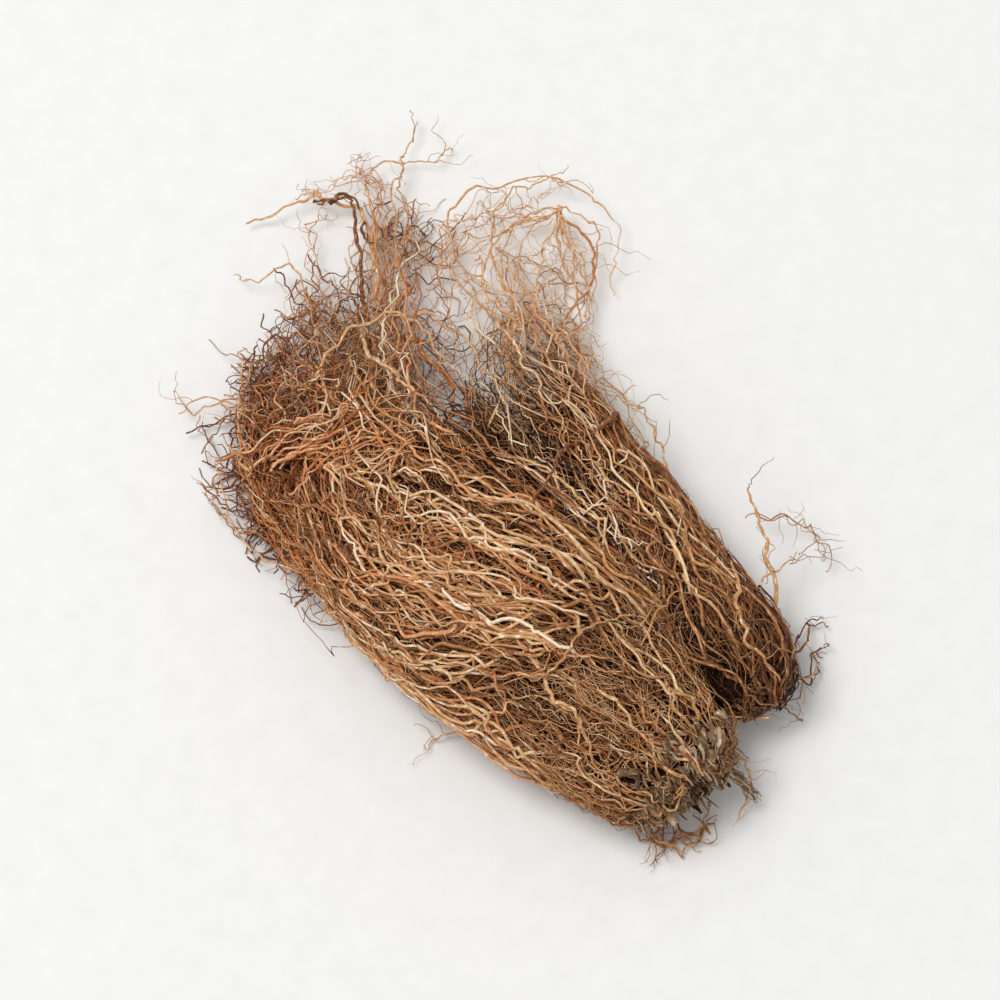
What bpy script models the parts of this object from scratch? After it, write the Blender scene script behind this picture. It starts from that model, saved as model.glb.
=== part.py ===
"""A dried vetiver root clump, lying on its side: cut crown towards -Y, root tips towards +Y.

Metres, +Z up. The origin lies on the surface under the middle of the clump's outline.
The matted roots are one body with two lobes side by side. The pale crown is set in the
end of the broad lobe. Lengths in the tables below are millimetres.
"""
import math
import random

import bmesh
import bpy
from mathutils import Vector

MM = 0.001
SEED = 11
GAP = 0.3
FLOOR_CLEARANCE = 0.35

# Stations of the two cores: y, centre x, half width, underside, top.
BROAD_CORE = [
    (-134, -20, 24, 5, 43),
    (-108, -25, 33, 2, 46),
    (-78, -28, 42, -2.0, 50),
    (-40, -35, 47, -2.6, 53),
    (0, -37, 48, -2.2, 49),
    (34, -33, 44, 0.8, 37),
    (60, -22, 34, 2, 25),
    (84, -8, 21, 3, 14),
]
NARROW_CORE = [
    (-124, 26, 16, 8, 34),
    (-102, 27, 20, 3, 41),
    (-70, 27, 22, -1.6, 44),
    (-30, 24, 22, -1.6, 43),
    (10, 25, 23, 1, 38),
    (36, 30, 23, 2, 29),
    (52, 39, 18, 3, 20),
    (66, 47, 11, 3, 13),
]
BROAD_RINGS = 21
NARROW_RINGS = 18
BROAD_SIDES = 36
NARROW_SIDES = 24
BROAD_CAPS = (5, 34)
NARROW_CAPS = (12, 28)

# Neighbouring roots cling together in strands: a core's sides stand out and in by turns.
STRAND_RELIEF = (0.9, 2.4)
STRAND_WANDER = 0.4
STRAND_WAVE = 0.055
FIRST_RING_TURN = 0.15

# Outer edges of the two fans of loose tips: x, y, height.
BROAD_FAN = [
    (-96, 30, 8),
    (-91, 52, 9),
    (-84, 73, 9),
    (-68, 94, 10),
    (-50, 108, 10),
    (-20, 120, 11),
    (6, 126, 12),
    (34, 128, 10),
    (42, 114, 8),
    (24, 92, 7),
]
NARROW_FAN = [
    (30, 84, 7),
    (44, 92, 9),
    (60, 92, 10),
    (72, 76, 9),
    (70, 58, 8),
    (62, 42, 7),
]

ROOT_SIDES = 3
ROOT_STEP = 13.5
ROOT_RADIUS = (0.85, 1.3)
TIP_RADIUS = 0.5
SUNK = 4.5
PROUD = (1.6, 4.6)
SWAY = 1.5

# Roots that run along a core and dive, or lift away at a free end.
SURFACE_RUN = (66, 104)
SURFACE_STRIDE = 7.0
SURFACE_JITTER = 0.1
SURFACE_DRIFT = 0.3
SURFACE_SAG = 0.7
FREE_SHARE = 0.4
FREE_LIFT = 2.5
BROAD_REACH = (-126, 62)
NARROW_REACH = (-118, 50)
BROAD_ROOTS = 50
NARROW_ROOTS = 26
BROAD_FAN_ROOTS = 40
NARROW_FAN_ROOTS = 20
FAN_RUN = (50, 100)
FAN_FIRST_Y = -30
FAN_LAST_GAP = 26
FAN_SPACING = (0.2, 0.8)
FAN_REACH = (0.8, 1.06)
FAN_JITTER = 0.15
FAN_SHOULDER = 16
FAN_TIP_HEIGHT = (0.25, 1.5)
FAN_DROOP = 0.4
FAN_SWAY = 2.2
FAN_TURN = (1.02 * math.pi, -0.02 * math.pi)
GOLDEN_TURN = 2.39996

# Long loose roots that leave the mat: x, y, height along each. The first point is in a core.
LOOSE_ROOTS = {
    "stout_pale": [(-12, 76, 8), (5, 99, 8), (19, 124, 9), (14, 142, 9), (5, 148, 8), (-18, 154, 5)],
    "dark_twist": [(-16, 74, 10), (-2, 96, 10), (8, 115, 11), (19, 135, 12), (9, 142, 11)],
    "top_long": [(-6, 78, 9), (12, 105, 8), (27, 136, 8), (39, 142, 7), (55, 133, 6), (65, 133, 4)],
    "top_upright": [(-4, 74, 10), (17, 105, 8), (37, 131, 8), (46, 138, 8), (61, 151, 5)],
    "left_hook": [(-28, 66, 12), (-24, 96, 12), (-15, 125, 14), (-30, 131, 9), (-34, 139, 5)],
    "left_curl": [(-44, 48, 14), (-56, 76, 12), (-68, 97, 9), (-80, 101, 7), (-80, 114, 4)],
    "left_feeler": [(-42, 40, 18), (-60, 70, 13), (-72, 102, 9), (-84, 104, 6)],
    "left_tail": [(-70, 6, 16), (-93, 34, 12), (-94, 56, 10), (-84, 80, 10)],
    "right_arch": [
        (38, 54, 10),
        (34, 84, 10),
        (49, 111, 10),
        (67, 108, 11),
        (87, 99, 11),
        (95, 84, 10),
        (98, 66, 9),
        (87, 56, 7),
        (80, 46, 4),
    ],
    "right_spray": [(42, 50, 11), (48, 76, 11), (66, 90, 11), (82, 86, 11), (90, 72, 10), (78, 56, 9), (56, 34, 12)],
    "right_fork": [(44, 50, 11), (50, 86, 10), (69, 102, 11), (82, 99, 11), (96, 98, 9)],
    "standing_stout": [(40, -104, 22), (54, -92, 21), (60, -78, 22), (66, -66, 22), (70, -51, 19)],
    "standing_arm": [(44, -88, 24), (60, -85, 21), (72, -83, 13)],
    "edge_bow": [(42, -40, 22), (54, -20, 20), (57, -4, 18), (54, 8, 16), (42, 22, 18)],
    "crossing": [(46, -6, 28), (40, -5, 41), (22, -6, 45), (6, -12, 53), (-8, -20, 51)],
    "heel_hook": [(-58, -66, 16), (-76, -62, 5), (-80, -59, 3), (-85, -59, 2)],
    "crown_beard": [(-30, -118, 10), (-38, -137, 4), (-31, -148, 3), (-22, -148, 2)],
    "crown_thread": [(0, -116, 18), (6, -136, 16), (1, -146, 9), (-8, -153, 3)],
    "right_tip": [(34, -108, 14), (44, -123, 9), (54, -120, 5)],
    "right_heel": [(30, -86, 36), (29, -110, 38), (31, -124, 30), (30, -131, 16), (35, -135, 5)],
    "rim_arc": [(0, -80, 34), (10, -98, 37), (16, -110, 37), (20, -121, 31), (24, -126, 22)],
}
LOOSE_RADIUS = 1.0
LOOSE_SWAY = 1.0
STOUT_LOOSE = {"stout_pale", "standing_stout", "dark_twist", "crossing", "rim_arc"}
STOUT_RADIUS = 1.35

# The open hollow in the lower end of the narrow lobe.
HOLLOW_CENTRE = (21, -128, 21)
HOLLOW_RADII = (12, 26, 10.5)

# The crown's socket is an ellipse that widens outwards from its bed.
CROWN_AXIS = (-20, 24)
CROWN_RADII = (19.5, 15.0)
CROWN_BED = -125.0
CROWN_FACE = -136.0
CROWN_REACH = -156.0
CROWN_FLARE = 0.35
CROWN_SIDES = 20
STUB_COUNT = 19
STUB_SIDES = 7
STUB_RADIUS = (2.3, 3.5)
STUB_LENGTH = (3.5, 9.0)
STUB_CUP_DEPTH = 1.8
STUB_WALL = 0.8
STUB_LEAN = 0.16
STUB_TAPER = 0.94
STUB_CUP_TAPER = 0.8
REPEAT_ROOT = 3
REPEAT_SPREAD = 0.8
REPEAT_LIFT = 0.1
STRAW_COUNT = 14
STRAW_RADIUS = 0.55
STRAW_LENGTH = (7.0, 13.0)
STRAW_LEAN = 0.3
STRAW_TURN = 0.5

ROOT_COLOUR = (0.33, 0.16, 0.07)
ROOT_ROUGHNESS = 0.85
CROWN_COLOUR = (0.47, 0.36, 0.22)
CROWN_ROUGHNESS = 0.9
SHARP_ANGLE = math.radians(50)


def remove_scene_objects():
    """Start from an empty scene."""
    for item in list(bpy.data.objects):
        bpy.data.objects.remove(item)


def mixed(low, high, share):
    """The value at a share of the way from low to high."""
    return low + (high - low) * share


def curve_value(before, start, end, after, share):
    """Catmull-Rom value between start and end."""
    slope_in = (end - before) / 2
    slope_out = (after - start) / 2
    square = share * share
    cube = square * share
    return (
        start * (2 * cube - 3 * square + 1)
        + slope_in * (cube - 2 * square + share)
        + end * (3 * square - 2 * cube)
        + slope_out * (cube - square)
    )


def curve_point(points, place):
    """A point on the smooth curve through points; place counts the points passed."""
    last = len(points) - 1
    index = min(int(place), last - 1)
    share = place - index
    nearby = [points[min(max(index + step, 0), last)] for step in (-1, 0, 1, 2)]
    return [curve_value(*values, share) for values in zip(*nearby)]


def station_at(stations, y):
    """Centre x, half width, underside and top of a core at y."""
    y = min(max(y, stations[0][0]), stations[-1][0])
    index = 0
    while stations[index + 1][0] < y:
        index += 1
    share = (y - stations[index][0]) / (stations[index + 1][0] - stations[index][0])
    return curve_point(stations, index + share)[1:]


def side_point(stations, y, angle, lift, shrink=1.0):
    """A point round a core at y. Angle 0 faces +X and a quarter turn faces up."""
    centre, half_width, bottom, top = station_at(stations, y)
    half_height = (top - bottom) / 2
    x = centre + (half_width + lift) * shrink * math.cos(angle)
    z = bottom + half_height + (half_height + lift) * shrink * math.sin(angle)
    return Vector((x, y, z))


def cap_shrink(y, start, end, caps):
    """How far a core's section has closed in at y, near its rounded ends."""
    from_start = min((y - start) / caps[0], 1.0)
    from_end = min((end - y) / caps[1], 1.0)
    closed = (1 - from_start) ** 2 + (1 - from_end) ** 2
    return math.sqrt(max(1 - closed, 0.0))


def new_object(name, bm):
    """Put a finished bmesh in the scene as an object, in metres."""
    bmesh.ops.recalc_face_normals(bm, faces=bm.faces)
    bmesh.ops.scale(bm, vec=(MM, MM, MM), verts=bm.verts)
    mesh = bpy.data.meshes.new(name)
    bm.to_mesh(mesh)
    bm.free()
    item = bpy.data.objects.new(name, mesh)
    bpy.context.scene.collection.objects.link(item)
    return item


def bridge_rings(bm, rings):
    """Join rings of vertices into one closed skin with flat ends."""
    for ring, following in zip(rings, rings[1:]):
        count = len(ring)
        for i in range(count):
            after = (i + 1) % count
            bm.faces.new((ring[i], ring[after], following[after], following[i]))
    bm.faces.new(rings[0])
    bm.faces.new(rings[-1])


def core(name, stations, ring_count, sides, caps, rng):
    """A lobe's matted core, with strands along it, pressed flat where it meets the floor."""
    bm = bmesh.new()
    start, end = stations[0][0], stations[-1][0]
    phases = [rng.uniform(0, math.tau) for _ in range(sides)]
    rings = []
    for i in range(ring_count):
        turn = mixed(FIRST_RING_TURN, math.pi - FIRST_RING_TURN, i / (ring_count - 1))
        y = mixed(start, end, (1 - math.cos(turn)) / 2)
        shrink = cap_shrink(y, start, end, caps)
        ring = []
        for side in range(sides):
            wander = STRAND_WANDER * math.sin(STRAND_WAVE * y + phases[side])
            angle = math.tau * (side + wander) / sides
            outwards = 1 if side % 2 else -1
            lift = outwards * rng.uniform(*STRAND_RELIEF)
            point = side_point(stations, y, angle, lift, shrink)
            pressed = side_point(stations, y, angle, 0.0, shrink).z <= 0.0
            point.z = 0.0 if pressed else max(point.z, FLOOR_CLEARANCE)
            ring.append(bm.verts.new(point))
        rings.append(ring)
    bridge_rings(bm, rings)
    return new_object(name, bm)


def tube(name, points, radii, sides):
    """A closed tube along points, with a radius at each."""
    bm = bmesh.new()
    across = (points[1] - points[0]).orthogonal().normalized()
    rings = []
    for i, point in enumerate(points):
        ahead = points[min(i + 1, len(points) - 1)] - points[max(i - 1, 0)]
        ahead.normalize()
        across = (across - ahead * across.dot(ahead)).normalized()
        over = ahead.cross(across)
        ring = []
        for side in range(sides):
            angle = math.tau * side / sides
            spoke = across * math.cos(angle) + over * math.sin(angle)
            ring.append(bm.verts.new(point + spoke * radii[i]))
        rings.append(ring)
    bridge_rings(bm, rings)
    return new_object(name, bm)


def root(name, controls, radius, tip_radius, rng, sway=SWAY):
    """One wavy root through its control points, kept above the floor."""
    controls = [Vector(point) for point in controls]
    length = sum((b - a).length for a, b in zip(controls, controls[1:]))
    steps = max(int(length / ROOT_STEP), 3)
    points, radii = [], []
    for i in range(steps + 1):
        share = i / steps
        point = Vector(curve_point(controls, share * (len(controls) - 1)))
        if 0 < i < steps:
            point += Vector([rng.uniform(-sway, sway) for _ in range(3)])
        thick = mixed(radius, tip_radius, share * share)
        point.z = max(point.z, thick + FLOOR_CLEARANCE)
        points.append(point)
        radii.append(thick)
    return tube(name, points, radii, ROOT_SIDES)


def surface_roots(name, stations, count, reach, rng):
    """Roots that rise out of a core, run along it and dive or lift away."""
    made = []
    first_y, last_y = reach
    span = last_y - first_y
    for i in range(count):
        length = rng.uniform(*SURFACE_RUN)
        place = (i + 0.5) / count
        start = first_y + (span - length) * ((place * SURFACE_STRIDE) % 1.0)
        angle = GOLDEN_TURN * i + rng.uniform(-SURFACE_JITTER, SURFACE_JITTER)
        drift = rng.uniform(-SURFACE_DRIFT, SURFACE_DRIFT)
        proud = rng.uniform(*PROUD)
        free_end = rng.random() < FREE_SHARE
        last_lift = proud + FREE_LIFT if free_end else -SUNK
        lifts = [-SUNK, proud, proud * SURFACE_SAG, proud, last_lift]
        controls = []
        for step, lift in enumerate(lifts):
            share = step / (len(lifts) - 1)
            turned = angle + drift * share
            controls.append(side_point(stations, start + length * share, turned, lift))
        tip = TIP_RADIUS if free_end else ROOT_RADIUS[0]
        made.append(root(f"{name}_{i}", controls, rng.uniform(*ROOT_RADIUS), tip, rng))
    return made


def fan_roots(name, stations, edge, count, rng):
    """Roots that leave the end of a core and spread out to a fan's edge."""
    made = []
    last = len(edge) - 1
    end = stations[-1][0]
    for i in range(count):
        share = (i + rng.uniform(*FAN_SPACING)) / count
        target = Vector(curve_point(edge, share * last))
        reach = rng.uniform(*FAN_REACH)
        base_y = min(max(target.y - rng.uniform(*FAN_RUN), FAN_FIRST_Y), end - FAN_LAST_GAP)
        angle = mixed(*FAN_TURN, share) + rng.uniform(-FAN_JITTER, FAN_JITTER)
        base = side_point(stations, base_y, angle, -SUNK)
        shoulder = side_point(stations, base_y + FAN_SHOULDER, angle, rng.uniform(*PROUD))
        tip = shoulder + (target - shoulder) * reach
        tip.z = rng.uniform(*FAN_TIP_HEIGHT) * target.z
        middle = (shoulder + tip) / 2
        middle.z = mixed(shoulder.z, tip.z, FAN_DROOP)
        radius = rng.uniform(*ROOT_RADIUS)
        controls = [base, shoulder, middle, tip]
        made.append(root(f"{name}_{i}", controls, radius, TIP_RADIUS, rng, FAN_SWAY))
    return made


def loose_roots(rng):
    """The long loose roots that leave the mat."""
    made = []
    for name, controls in LOOSE_ROOTS.items():
        radius = STOUT_RADIUS if name in STOUT_LOOSE else LOOSE_RADIUS
        made.append(root(name, controls, radius, TIP_RADIUS, rng, LOOSE_SWAY))
    return made


def ellipsoid(name, centre, radii):
    """A closed ellipsoid, for cutting the hollow."""
    bm = bmesh.new()
    bmesh.ops.create_icosphere(bm, subdivisions=2, radius=1.0)
    bmesh.ops.scale(bm, vec=radii, verts=bm.verts)
    bmesh.ops.translate(bm, vec=centre, verts=bm.verts)
    return new_object(name, bm)


def crown_section(y, spread):
    """Points of the crown's ellipse at y, grown by spread."""
    x, z = CROWN_AXIS
    flare = 1 + CROWN_FLARE * max(CROWN_FACE - y, 0) / (CROWN_FACE - CROWN_REACH)
    points = []
    for side in range(CROWN_SIDES):
        angle = math.tau * side / CROWN_SIDES
        across = (CROWN_RADII[0] * flare + spread) * math.cos(angle)
        up = (CROWN_RADII[1] * flare + spread) * math.sin(angle)
        points.append((x + across, y, z + up))
    return points


def crown_block(name, places, spread):
    """A closed block of the crown's ellipse through the given y places."""
    bm = bmesh.new()
    rings = [[bm.verts.new(point) for point in crown_section(y, spread)] for y in places]
    bridge_rings(bm, rings)
    return new_object(name, bm)


def stub(name, foot, ahead, radius, length):
    """A cut culm base: a short round stub with a shallow cup in its end."""
    bm = bmesh.new()
    across = ahead.orthogonal().normalized()
    over = ahead.cross(across)
    rings = []
    cup = radius - STUB_WALL
    wall = ((0, radius), (length, radius * STUB_TAPER))
    hole = ((length, cup), (length - STUB_CUP_DEPTH, cup * STUB_CUP_TAPER))
    for along, reach in wall + hole:
        ring = []
        for side in range(STUB_SIDES):
            angle = math.tau * side / STUB_SIDES
            spoke = across * math.cos(angle) + over * math.sin(angle)
            ring.append(bm.verts.new(foot + ahead * along + spoke * reach))
        rings.append(ring)
    bridge_rings(bm, rings)
    return new_object(name, bm)


def crown_parts(rng):
    """The crown's plug, its cut stubs and the straws between them."""
    plug = crown_block("crown", (CROWN_BED - GAP, CROWN_FACE), 0.0)
    x, z = CROWN_AXIS
    repeats = []
    for i in range(STUB_COUNT + STRAW_COUNT):
        is_straw = i >= STUB_COUNT
        spread = math.sqrt((i % STUB_COUNT + 0.5) / STUB_COUNT) * REPEAT_SPREAD
        angle = GOLDEN_TURN * i + (STRAW_TURN if is_straw else 0.0)
        across = spread * math.cos(angle)
        up = spread * math.sin(angle)
        foot = Vector((x + CROWN_RADII[0] * across, CROWN_FACE + REPEAT_ROOT, z + CROWN_RADII[1] * up))
        lean = STRAW_LEAN if is_straw else STUB_LEAN
        ahead = Vector((lean * across, -1.0, lean * up + rng.uniform(0, REPEAT_LIFT))).normalized()
        if is_straw:
            end = foot + ahead * rng.uniform(*STRAW_LENGTH)
            repeats.append(tube(f"straw_{i}", [foot, end], [STRAW_RADIUS] * 2, ROOT_SIDES))
        else:
            length = REPEAT_ROOT + rng.uniform(*STUB_LENGTH)
            repeats.append(stub(f"stub_{i}", foot, ahead, rng.uniform(*STUB_RADIUS), length))
    return plug, repeats


def apply_boolean(item, operation, operand=None, collection=None, solver="EXACT"):
    """Apply one Boolean to an object."""
    modifier = item.modifiers.new(operation, "BOOLEAN")
    modifier.operation = operation
    modifier.solver = solver
    if collection:
        modifier.operand_type = "COLLECTION"
        modifier.collection = collection
    else:
        modifier.object = operand
    with bpy.context.temp_override(object=item, active_object=item, selected_objects=[item]):
        bpy.ops.object.modifier_apply(modifier=modifier.name)


def fuse(item, repeats):
    """Join repeats to an object by one Boolean union on a collection, then remove them."""
    group = bpy.data.collections.new(item.name + "_repeats")
    bpy.context.scene.collection.children.link(group)
    for repeat in repeats:
        bpy.context.scene.collection.objects.unlink(repeat)
        group.objects.link(repeat)
    apply_boolean(item, "UNION", collection=group, solver="MANIFOLD")
    for repeat in repeats:
        bpy.data.objects.remove(repeat)
    bpy.data.collections.remove(group)


def cut(item, cutter):
    """Cut one object by another, which is then removed."""
    apply_boolean(item, "DIFFERENCE", operand=cutter)
    bpy.data.objects.remove(cutter)


def island_of(seed):
    """All the vertices joined to a vertex by edges."""
    found = {seed}
    waiting = [seed]
    while waiting:
        vertex = waiting.pop()
        for edge in vertex.link_edges:
            other = edge.other_vert(vertex)
            if other not in found:
                found.add(other)
                waiting.append(other)
    return found


def keep_main_body(item):
    """Drop loose scraps, and the walls of hollows that the fusing sealed."""
    bm = bmesh.new()
    bm.from_mesh(item.data)
    left = set(bm.verts)
    islands = []
    while left:
        island = island_of(next(iter(left)))
        islands.append(island)
        left -= island
    islands.sort(key=len)
    scraps = [vertex for island in islands[:-1] for vertex in island]
    bmesh.ops.delete(bm, geom=scraps, context="VERTS")
    bmesh.ops.triangulate(bm, faces=bm.faces)
    bm.to_mesh(item.data)
    bm.free()


def material(name, colour, roughness):
    """A plain material for one node."""
    made = bpy.data.materials.new(name)
    made.use_nodes = True
    shader = made.node_tree.nodes["Principled BSDF"]
    shader.inputs["Base Color"].default_value = (*colour, 1.0)
    shader.inputs["Roughness"].default_value = roughness
    shader.inputs["Metallic"].default_value = 0.0
    return made


def finish(item, colour, roughness):
    """Give a node its material and smooth shading."""
    item.data.materials.clear()
    item.data.materials.append(material(item.name, colour, roughness))
    item.data.shade_smooth()
    item.data.set_sharp_from_angle(angle=SHARP_ANGLE)


def build_root_mass():
    """The matted roots: two cores with roots standing out of them, fused into one body."""
    rng = random.Random(SEED)
    broad = core("root_mass", BROAD_CORE, BROAD_RINGS, BROAD_SIDES, BROAD_CAPS, rng)
    narrow = core("narrow_lobe", NARROW_CORE, NARROW_RINGS, NARROW_SIDES, NARROW_CAPS, rng)
    cut(narrow, ellipsoid("hollow_cutter", HOLLOW_CENTRE, HOLLOW_RADII))
    repeats = [narrow]
    repeats += surface_roots("broad_root", BROAD_CORE, BROAD_ROOTS, BROAD_REACH, rng)
    repeats += surface_roots("narrow_root", NARROW_CORE, NARROW_ROOTS, NARROW_REACH, rng)
    repeats += fan_roots("broad_fan", BROAD_CORE, BROAD_FAN, BROAD_FAN_ROOTS, rng)
    repeats += fan_roots("narrow_fan", NARROW_CORE, NARROW_FAN, NARROW_FAN_ROOTS, rng)
    repeats += loose_roots(rng)
    fuse(broad, repeats)
    cut(broad, crown_block("socket_cutter", (CROWN_BED, CROWN_FACE, CROWN_REACH), GAP))
    keep_main_body(broad)
    finish(broad, ROOT_COLOUR, ROOT_ROUGHNESS)


def build_crown():
    """The pale cut crown, one body in the socket at the end of the broad lobe."""
    rng = random.Random(SEED + 1)
    plug, repeats = crown_parts(rng)
    fuse(plug, repeats)
    keep_main_body(plug)
    finish(plug, CROWN_COLOUR, CROWN_ROUGHNESS)


remove_scene_objects()
build_root_mass()
build_crown()
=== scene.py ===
import math

import bpy
import numpy as np
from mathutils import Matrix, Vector


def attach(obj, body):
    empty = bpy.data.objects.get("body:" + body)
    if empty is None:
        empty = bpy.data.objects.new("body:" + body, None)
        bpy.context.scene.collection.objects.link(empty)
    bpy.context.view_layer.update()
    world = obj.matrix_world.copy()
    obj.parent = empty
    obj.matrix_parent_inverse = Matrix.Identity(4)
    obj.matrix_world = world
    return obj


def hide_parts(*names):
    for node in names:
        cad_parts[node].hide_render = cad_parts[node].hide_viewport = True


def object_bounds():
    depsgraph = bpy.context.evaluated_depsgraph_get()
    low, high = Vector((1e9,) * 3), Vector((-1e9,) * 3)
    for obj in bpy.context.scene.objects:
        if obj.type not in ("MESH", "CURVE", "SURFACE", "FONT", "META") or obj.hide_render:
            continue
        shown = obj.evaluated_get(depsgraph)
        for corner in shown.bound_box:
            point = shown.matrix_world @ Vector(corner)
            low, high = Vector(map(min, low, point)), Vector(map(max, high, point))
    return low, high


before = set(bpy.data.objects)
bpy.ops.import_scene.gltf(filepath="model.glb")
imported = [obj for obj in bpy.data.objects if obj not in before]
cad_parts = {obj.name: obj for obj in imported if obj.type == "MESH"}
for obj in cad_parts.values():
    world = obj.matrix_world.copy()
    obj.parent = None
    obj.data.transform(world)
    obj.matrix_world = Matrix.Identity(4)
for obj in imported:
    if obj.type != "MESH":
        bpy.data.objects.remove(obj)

# A dried vetiver root clump. Lengths below are millimetres, in the frame's axes.
CAD_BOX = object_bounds()
MM = 0.001
SEED = 29
GOLDEN_TURN = 2.39996

# Stations of the two lobes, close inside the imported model's: y, centre x, half width, underside, top.
BROAD = [
    (-134, -20, 24, 5, 43),
    (-108, -23.5, 31.5, 2, 46),
    (-78, -26.5, 40, -2.0, 50),
    (-40, -33, 44.5, -2.6, 53),
    (0, -35, 45.5, -2.2, 49),
    (34, -30.5, 41, 0.8, 37),
    (60, -22, 34, 2, 25),
    (84, -8, 21, 3, 14),
]
NARROW = [
    (-124, 25, 15, 8, 34),
    (-102, 25.3, 18.3, 3, 41),
    (-70, 24.3, 19.3, -1.6, 44),
    (-30, 22.5, 20, -1.6, 43),
    (10, 22, 20, 1, 38),
    (36, 25, 17.5, 2, 29),
    (52, 33, 14.5, 3, 20),
    (66, 42, 10, 3, 13),
]
BROAD_CAPS = (9, 34)
NARROW_CAPS = (14, 28)
BROAD_MAT = BROAD[:5] + [(26, -33, 39, 0.8, 34), (46, -31, 26, 2, 18)]
NARROW_MAT = NARROW[:4] + [(0, 22, 19, 1, 33), (22, 27, 12, 2, 18)]

# Outer edges of the two fans of loose tips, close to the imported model's, and the places on the mat that
# they leave: x, y, height.
BROAD_FAN_EDGE = [
    (-83, 28, 8), (-84, 52, 9), (-81, 73, 9), (-68, 94, 10), (-50, 108, 10),
    (-20, 120, 11), (6, 126, 12), (34, 128, 10), (42, 114, 8), (24, 92, 7),
]
BROAD_FAN_FOOT = [
    (-72, -30, 26), (-70, -4, 24), (-64, 14, 26), (-54, 30, 26), (-44, 40, 24),
    (-32, 48, 22), (-20, 54, 20), (-8, 56, 18), (2, 52, 16), (8, 44, 16),
]
NARROW_FAN_EDGE = [
    (30, 84, 7), (44, 92, 9), (60, 92, 10), (68, 77, 9), (64, 58, 8), (54, 41, 7),
]
NARROW_FAN_FOOT = [
    (18, 30, 18), (27, 40, 20), (35, 44, 20), (42, 40, 20), (45, 30, 18), (41, 14, 16),
]

# Lines that the roots follow over the broad lobe, from underneath, up over the left side, across
# the top and down on the right: y and the angle round the lobe in degrees, with 90 on top.
BROAD_LINES = [
    [(-130, 262), (-80, 262), (-30, 262), (30, 264), (86, 266)],
    [(-132, 225), (-85, 222), (-35, 222), (25, 226), (86, 232)],
    [(-130, 192), (-90, 190), (-45, 196), (10, 204), (84, 210)],
    [(-112, 150), (-80, 160), (-45, 178), (5, 190), (74, 200)],
    [(-84, 112), (-62, 130), (-38, 156), (0, 176), (62, 184)],
    [(-78, 98), (-56, 116), (-28, 140), (10, 158), (66, 164)],
    [(-76, 92), (-50, 106), (-18, 126), (18, 140), (72, 146)],
    [(-78, 72), (-46, 88), (-14, 106), (22, 120), (80, 128)],
    [(-80, 46), (-42, 64), (-8, 86), (28, 102), (86, 108)],
    [(-96, 24), (-50, 38), (-10, 58), (30, 76), (88, 86)],
    [(-112, 2), (-60, 10), (-10, 26), (34, 44), (88, 60)],
    [(-126, -28), (-70, -24), (-15, -14), (34, 2), (86, 24)],
    [(-130, -62), (-80, -60), (-25, -56), (30, -50), (86, -40)],
    [(-130, -98), (-80, -98), (-30, -98), (30, -96), (86, -94)],
]
NARROW_LINES = [
    [(-125, 262), (-78, 262), (-32, 262), (12, 262), (60, 262)],
    [(-125, 215), (-78, 212), (-32, 206), (12, 204), (60, 202)],
    [(-125, 176), (-78, 166), (-32, 158), (12, 156), (62, 156)],
    [(-124, 140), (-76, 128), (-32, 118), (12, 114), (66, 116)],
    [(-124, 104), (-74, 94), (-32, 88), (12, 86), (70, 90)],
    [(-125, 68), (-76, 62), (-32, 58), (12, 58), (66, 64)],
    [(-126, 32), (-78, 28), (-32, 26), (12, 28), (62, 36)],
    [(-126, -6), (-78, -8), (-32, -8), (12, -6), (60, 4)],
    [(-126, -50), (-78, -50), (-32, -50), (12, -50), (60, -46)],
    [(-126, -98), (-78, -98), (-32, -98), (12, -98), (60, -98)],
]
# Lines from the crown's rim up over the end of the broad lobe.
CROWN_TURNS = (-98, -62, -28, 2, 24, 46, 68, 92, 116, 142, 168, 194, 226, 262)
CROWN_LINES = [[(-134, a), (-116, a + 1), (-98, a + 4), (-76, a + 9), (-52, a + 16)] for a in CROWN_TURNS]

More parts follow.
